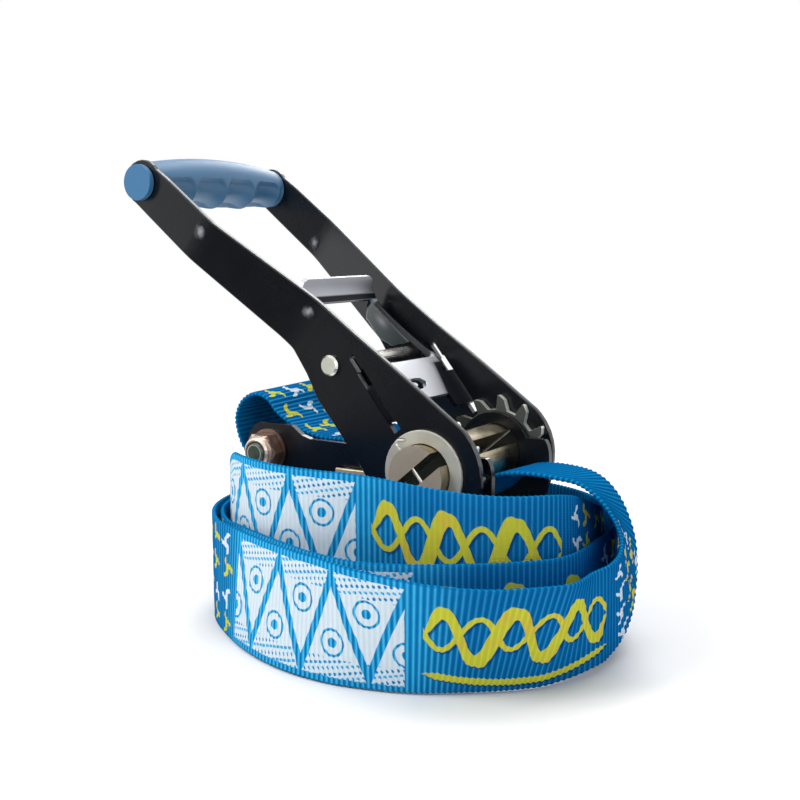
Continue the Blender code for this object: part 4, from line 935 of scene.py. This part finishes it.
low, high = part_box("lock_spring")
spring_z = (low[2] + high[2]) / 2
lock_line = [Vector((x, SPINDLE.y, spring_z)) for x in (low[0] + SPRING_WIRE_R, high[0] - SPRING_WIRE_R)]
release_line = [at_handle(*spot) for spot in RELEASE_SPRING]
coil("wire_lock_spring", *lock_line, ("base", "lock"))
coil("wire_release_spring", *release_line, ("release", "handle"), at_handle(*RELEASE_HOOK))

# The strap
WEB_WIDTH = 50.0 * MM
WEB_THICK = 2.2 * MM
STATION = 0.6 * MM
RIB = RIB_PITCH * MM
RIB_SWELL = 0.24 * MM
EDGE_SWELL = 0.18 * MM
# Keys of the eye, from its end, and of the arch, from its start, that lie in the stretch which shows no print
PLAIN_KEYS = 6
PLAIN_ARCH_KEYS = 5
# The print before that stretch is another length of the same run, a whole number of ribs further on
EYE_PRINT_SHIFT = 36 * RIB_PITCH * MM
RING_CX = -21.0 * MM
RING_CY = -20.0 * MM
RING_R = 90.0 * MM
# Radius of the ring as a share of RING_R, every 15 degrees, from the +X side round by the back
RING_SHARES = (1.097, 1.106, 1.106, 1.044, 0.978, 0.933, 0.911, 0.922, 0.956, 1.006, 1.056, 1.083,
               1.078, 1.031, 0.960, 0.896, 0.871, 0.873, 0.893, 0.920, 0.947, 0.973, 1.036, 1.109)
# The winding's first angle, in degrees, and how many turns it makes
START_ANGLE = -26.0
TURNS = 2.53
# The winding's moves, in millimetres, each made between two of its turns: inwards for each new layer and in
# the fold, then out again; up at the back, in the fold and at the front, and down at the left
INWARD = ((4.2, 0.72, 0.98), (4.8, 1.70, 1.88), (17.0, 1.99, 2.115), (-17.0, 2.115, 2.335))
UPWARD = ((6.0, 1.5, 1.78), (18.5, 1.84, 1.99), (5.5, 1.99, 2.17), (-21.0, 2.325, 2.415))
# The first stretch lies further out and leans, less and less between these angles, clockwise from +X
START_OUTSET = 1.5 * MM
START_OUTSET_ANGLES = (50.0, 70.0)
START_LEAN = 0.38
START_LEAN_ANGLES = (38.0, 88.0)
# Stretches further on that lean the other way: share, middle and half angle, how fast that fades towards the
# half angle, and the turns between which they do so
LEANS = (
    (0.12, -107.0, 34.6, 2.6, 0.0, 1.9),
    (0.08, 12.0, 32.0, 90.0 / 32.0, 0.5, TURNS),
)


def ring_radius(angle):
    """Smooth reading of the ring's radius at an angle in degrees."""
    count = len(RING_SHARES)
    place_at = (angle % 360.0) / 360.0 * count
    i = int(place_at)
    t = place_at - i
    a, b, c, d = (RING_SHARES[(i + k) % count] for k in (-1, 0, 1, 2))
    return (b + 0.5 * t * (c - a + t * (2 * a - 5 * b + 4 * c - d + t * (3 * (b - c) + d - a)))) * RING_R


def moved(moves, turn):
    """How far the winding has moved by a turn."""
    return sum(size * MM * smooth_step(start, end, turn) for size, start, end in moves)


def winding_row(turn):
    """The two edges of the winding after so many turns, clockwise from above, the upper one first."""
    angle = START_ANGLE - 360.0 * turn
    inset = moved(INWARD, turn)
    lean = 0.0
    if turn < 1:
        inset -= START_OUTSET * (1.0 - smooth_step(*START_OUTSET_ANGLES, -angle))
        lean = START_LEAN * (1.0 - smooth_step(*START_LEAN_ANGLES, -angle))
    for share, middle, half, fade, from_turn, to_turn in LEANS:
        off = angle_off(angle, middle)
        if from_turn < turn < to_turn and off < half:
            lean -= share * math.cos(math.radians(off * fade))
    lift = moved(UPWARD, turn) + abs(lean) * WEB_THICK / 2
    a = math.radians(angle)
    out = Vector((math.cos(a), math.sin(a), 0.0))
    low = Vector((RING_CX, RING_CY, lift - SPINDLE.z)) + out * (ring_radius(angle) - inset)
    return low + (out * lean + Vector((0.0, 0.0, math.sqrt(1.0 - lean * lean)))) * WEB_WIDTH, low


# The eye's route in millimetres about the spindle: x and z of both edges, or of the near and the far one
EYE_ROUTE = (
    (-42.0, 5.3), (-58.0, 5.4), (-70.0, 2.6), (-80.0, -5.6), (-90.0, -9.9), (-101.0, -8.0),
    (-109.0, -2.0), (-113.2, 5.5), (-114.6, 14.5, -113.8, 15.5), (-110.6, 22.4, -108.0, 24.2),
    (-103.0, 26.2, -99.0, 28.2), (-95.4, 24.4, -90.4, 27.2), (-90.0, 18.8, -84.0, 21.6),
    (-84.0, 14.9, -78.4, 16.2), (-76.0, 11.2, -71.5, 11.6), (-64.0, 8.6, -62.0, 8.6),
    (-50.0, 8.4, -49.0, 8.4), (-42.0, 7.0), (-32.0, 0.6), (-22.0, -6.2), (-12.5, -13.0), (-4.0, -17.4),
    (5.0, -17.4), (13.0, -12.6), (20.0, -5.6, 18.0, -7.4),
)
EYE_KEYS = tuple(((row[0], -1.0, row[1]), (row[-2], 1.0, row[-1])) for row in EYE_ROUTE)
# The arch's route, near or upper edge first: x, y as a share of half the webbing's width, and z
ARCH_KEYS = (
    ((20.4, -1.0, -5.2), (18.4, 1.0, -7.1)),
    ((27.5, -1.0, -0.2), (25.0, 1.0, -3.6)),
    ((40.0, -1.0, 2.3), (38.0, 1.0, -2.6)),
    ((55.3, -1.0, 2.0), (52.0, 1.0, -4.6)),
    ((66.0, -1.0, 0.8), (61.5, 0.96, -10.5)),
    ((74.5, -1.02, -3.6), (69.0, 0.88, -20.5)),
    ((81.5, -1.04, -10.6), (75.5, 0.6, -34.0)),
    ((86.4, -1.14, -17.8), (79.5, 0.16, -52.0)),
    ((88.6, -1.4, -22.6), (81.2, -0.36, -62.0)),
    ((88.2, -1.76, -25.0), (80.6, -0.96, -67.0)),
    ((86.0, -2.16, -25.7), (78.4, -1.42, -70.4)),
)


def key_point(key):
    """A key of the webbing's route, or a point already in metres."""
    if isinstance(key, Vector):
        return key
    x, share, z = key
    return Vector((x * MM, share * WEB_WIDTH / 2, z * MM))


def spline_rails(keys, steps):
    """A smooth run through pairs of edge points, both edges kept the webbing's width apart."""
    rows = []
    for i in range(len(keys) - 1):
        for j in range(steps):
            edges = []
            for edge in (0, 1):
                weighed = zip(spline_weights(j / steps), keys_around(keys, i))
                edges.append(sum((key_point(key[edge]) * w for w, key in weighed), Vector()))
            top, low = edges
            rows.append((top, top + (low - top).normalized() * WEB_WIDTH))
    return rows


RAIL_STEPS = 12
WINDING_STEPS = 1100
# The winding's row, in turns, that steers the arch's end
STEERING_TURN = 0.034


def strap_rows():
    """Edge pairs of the whole strap, from the sewn end under the eye to the free end, at an even pitch."""
    keys = EYE_KEYS + ARCH_KEYS[1:] + (winding_row(0.0), winding_row(STEERING_TURN))
    coarse = spline_rails(keys, RAIL_STEPS)[:-RAIL_STEPS]
    coarse += [winding_row(TURNS * i / WINDING_STEPS) for i in range(WINDING_STEPS + 1)]
    run = running_lengths([(a + b) / 2 for a, b in coarse])
    count = int(run[-1] / STATION)
    rows = []
    j = 0
    for i in range(count + 1):
        at = run[-1] * i / count
        while j < len(run) - 2 and run[j + 1] < at:
            j += 1
        t = (at - run[j]) / max(run[j + 1] - run[j], 1e-9)
        rows.append((coarse[j][0].lerp(coarse[j + 1][0], t), coarse[j][1].lerp(coarse[j + 1][1], t), at))
    plain_from = run[RAIL_STEPS * (len(EYE_KEYS) - PLAIN_KEYS)]
    plain_to = run[RAIL_STEPS * (len(EYE_KEYS) + PLAIN_ARCH_KEYS)]
    return rows, run[-1], plain_from, plain_to


# The strap's section: shares of its half width and half thickness, and 1 where the print shows
FACE_COLUMNS = (-0.965, -0.72, -0.36, 0.0, 0.36, 0.72, 0.965)
SELVEDGE = ((0.990, 0.62), (1.0, 0.0), (0.990, -0.62))
SECTION = (
    [(a, 1.0, 1.0) for a in FACE_COLUMNS] + [(a, o, 0.0) for a, o in SELVEDGE]
    + [(-a, -1.0, 0.0) for a in FACE_COLUMNS] + [(-a, -o, 0.0) for a, o in SELVEDGE]
)


def build_strap():
    """One closed mesh for the strap, its faces and selvedges swelling at the ribs, with print coordinates."""
    rows, length, plain_from, plain_to = strap_rows()
    half = WEB_WIDTH / 2
    rings, marks, coords = [], [], []
    for i, (top, low, at) in enumerate(rows):
        before, after = rows[max(i - 2, 0)], rows[min(i + 2, len(rows) - 1)]
        middle = (top + low) / 2
        run = ((after[0] + after[1]) - (before[0] + before[1])).normalized()
        up = (top - low).normalized()
        out = up.cross(run).normalized()
        phase = math.cos(math.tau * at / RIB)
        depth = WEB_THICK / 2 - RIB_SWELL + RIB_SWELL * phase
        reach = half - EDGE_SWELL + EDGE_SWELL * phase
        rings.append([SPINDLE + middle + up * a * reach + out * o * depth for a, o, _ in SECTION])
        along = length - at + (EYE_PRINT_SHIFT if at < plain_from else 0.0)
        for across, _, printed in SECTION:
            marks.append(0.0 if plain_from < at < plain_to else printed)
            coords.append((along, half + across * half))
    strap = make_piece("strap", *lofted(rings), WEBBING)
    layer = strap.data.uv_layers.new(name="strap")
    for loop in strap.data.loops:
        layer.data[loop.index].uv = coords[loop.vertex_index]
    mark = strap.data.attributes.new("printed_side", "FLOAT", "POINT")
    mark.data.foreach_set("value", marks)
    return strap, length


strap, strap_length = build_strap()
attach(strap, "base")
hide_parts("webbing_eye", "webbing_arch", "webbing_winding")

# Stage: a pale floor that runs out into the white surround
FLOOR_HALF = 3.0
FLOOR_Z = -0.2 * MM
FLOOR_COLOUR = (0.905, 0.895, 0.89)
PAPER_FROM, PAPER_TO = 0.26, 0.95


def mix_shaders(tree, factor, first, second):
    """A mix of two shaders by a factor, all three given as sockets."""
    mix = tree.nodes.new("ShaderNodeMixShader")
    for place, socket in enumerate((factor, first, second)):
        tree.links.new(socket, mix.inputs[place])
    return mix.outputs[0]


def floor_paper():
    """Pale matt paper, which the camera sees turn to plain white away from the object."""
    made, tree, shader = new_material("floor_paper")
    feed(shader, {"Base Color": (*FLOOR_COLOUR, 1.0), "Roughness": 0.9, "Specular IOR Level": 0.0})
    x, y, _ = split_vector(tree, shaded_point(tree))
    fade = x.hypot(y).rising(PAPER_FROM, PAPER_TO - PAPER_FROM).s_curve()
    glow = tree.nodes.new("ShaderNodeEmission")
    feed(glow, {"Color": (1.0, 1.0, 1.0, 1.0)})
    rays = tree.nodes.new("ShaderNodeLightPath")
    seen = fade * Maths(tree, rays.outputs["Is Camera Ray"])
    mixed = mix_shaders(tree, seen.socket, shader.outputs[0], glow.outputs[0])
    feed(tree.nodes["Material Output"], {"Surface": mixed})
    return made


corners = ((-1, -1), (1, -1), (1, 1), (-1, 1))
floor_points = [(x * FLOOR_HALF, y * FLOOR_HALF, FLOOR_Z) for x, y in corners]
floor = make_piece("floor", floor_points, [(0, 1, 2, 3)], floor_paper())
floor.visible_glossy = False

# Soft lamps, aimed at the middle of the object: place and size in metres, power and colour
LAMP_AIM = Vector((0.0, 0.0, 0.09))
LAMPS = {
    "key": ((-0.55, -0.75, 0.95), 0.55, 9.5, (1.0, 0.99, 0.97)),
    "fill": ((0.95, -0.55, 0.55), 0.6, 2.2, (0.94, 0.97, 1.0)),
    "top": ((0.05, 0.25, 1.15), 0.8, 7.0, (1.0, 1.0, 1.0)),
    "back": ((-0.35, 0.95, 0.7), 0.5, 4.0, (1.0, 1.0, 1.0)),
}
for name, (place, size, power, colour) in LAMPS.items():
    light = bpy.data.lights.new(name, "AREA")
    light.shape = "RECTANGLE"
    light.size = size
    light.size_y = size
    light.energy = power
    light.color = colour
    lamp = link_object(name, light)
    lamp.location = place
    lamp.rotation_euler = (LAMP_AIM - Vector(place)).to_track_quat("-Z", "Y").to_euler()

# The surround: white to the camera, soft light on the object, and a mirrored room, dark behind the camera
SURROUND, SURROUND_STRENGTH = (0.96, 0.98, 1.0), 0.50
MIRRORED = (0.985, 0.99, 1.0)
MIRRORED_DARK, MIRRORED_LIGHT = 0.05, 1.08
ROOM_FROM_Y, ROOM_SOFT = -0.79, 0.13


def background(tree, colour, strength):
    """A background of one colour; its strength may be a number in the shader."""
    made = tree.nodes.new("ShaderNodeBackground")
    feed(made, {"Color": (*colour, 1.0), "Strength": strength})
    return made


world = bpy.data.worlds.new("studio")
bpy.context.scene.world = world
world.use_nodes = True
tree = world.node_tree
tree.nodes.clear()
path = tree.nodes.new("ShaderNodeLightPath")
low_light = background(tree, SURROUND, SURROUND_STRENGTH)
white = background(tree, (1.0, 1.0, 1.0), 1.0)
view_y = split_vector(tree, shaded_point(tree, "Generated"))[1]
room_light = view_y.rising(ROOM_FROM_Y, ROOM_SOFT) * MIRRORED_LIGHT + MIRRORED_DARK
mirrored_room = background(tree, MIRRORED, room_light)
in_mirror = Maths(tree, path.outputs["Is Glossy Ray"]).max(Maths(tree, path.outputs["Is Transmission Ray"]))
unseen = mix_shaders(tree, in_mirror.socket, low_light.outputs[0], mirrored_room.outputs[0])
out = tree.nodes.new("ShaderNodeOutputWorld")
mixed = mix_shaders(tree, path.outputs["Is Camera Ray"], unseen, white.outputs[0])
tree.links.new(mixed, out.inputs[0])

# Camera at the photo's viewpoint: VIEW_X and VIEW_Y are its direction from above, pitch and roll in degrees
CAMERA_FROM_SPINDLE = Vector((255.8, -459.1, 100.1)) * MM
VIEW_X, VIEW_Y = -0.53586, 0.84430
PITCH, ROLL = 7.845, -0.247
FOCAL_PX = 1172.5
IMAGE_PX = 800
SENSOR = 36.0
eye = bpy.data.cameras.new("camera")
eye.sensor_width = SENSOR
eye.lens = SENSOR * FOCAL_PX / IMAGE_PX
camera = link_object("camera", eye)
pitch = math.radians(PITCH)
forward = Vector((VIEW_X * math.cos(pitch), VIEW_Y * math.cos(pitch), -math.sin(pitch)))
right = forward.cross(Vector((0.0, 0.0, 1.0))).normalized()
up = right.cross(forward)
turned = Matrix((right, up, -forward)).transposed() @ Matrix.Rotation(math.radians(ROLL), 3, "Z")
camera.matrix_world = Matrix.Translation(SPINDLE + CAMERA_FROM_SPINDLE) @ turned.to_4x4()
bpy.context.scene.camera = camera
bpy.context.scene.view_settings.view_transform = "Standard"
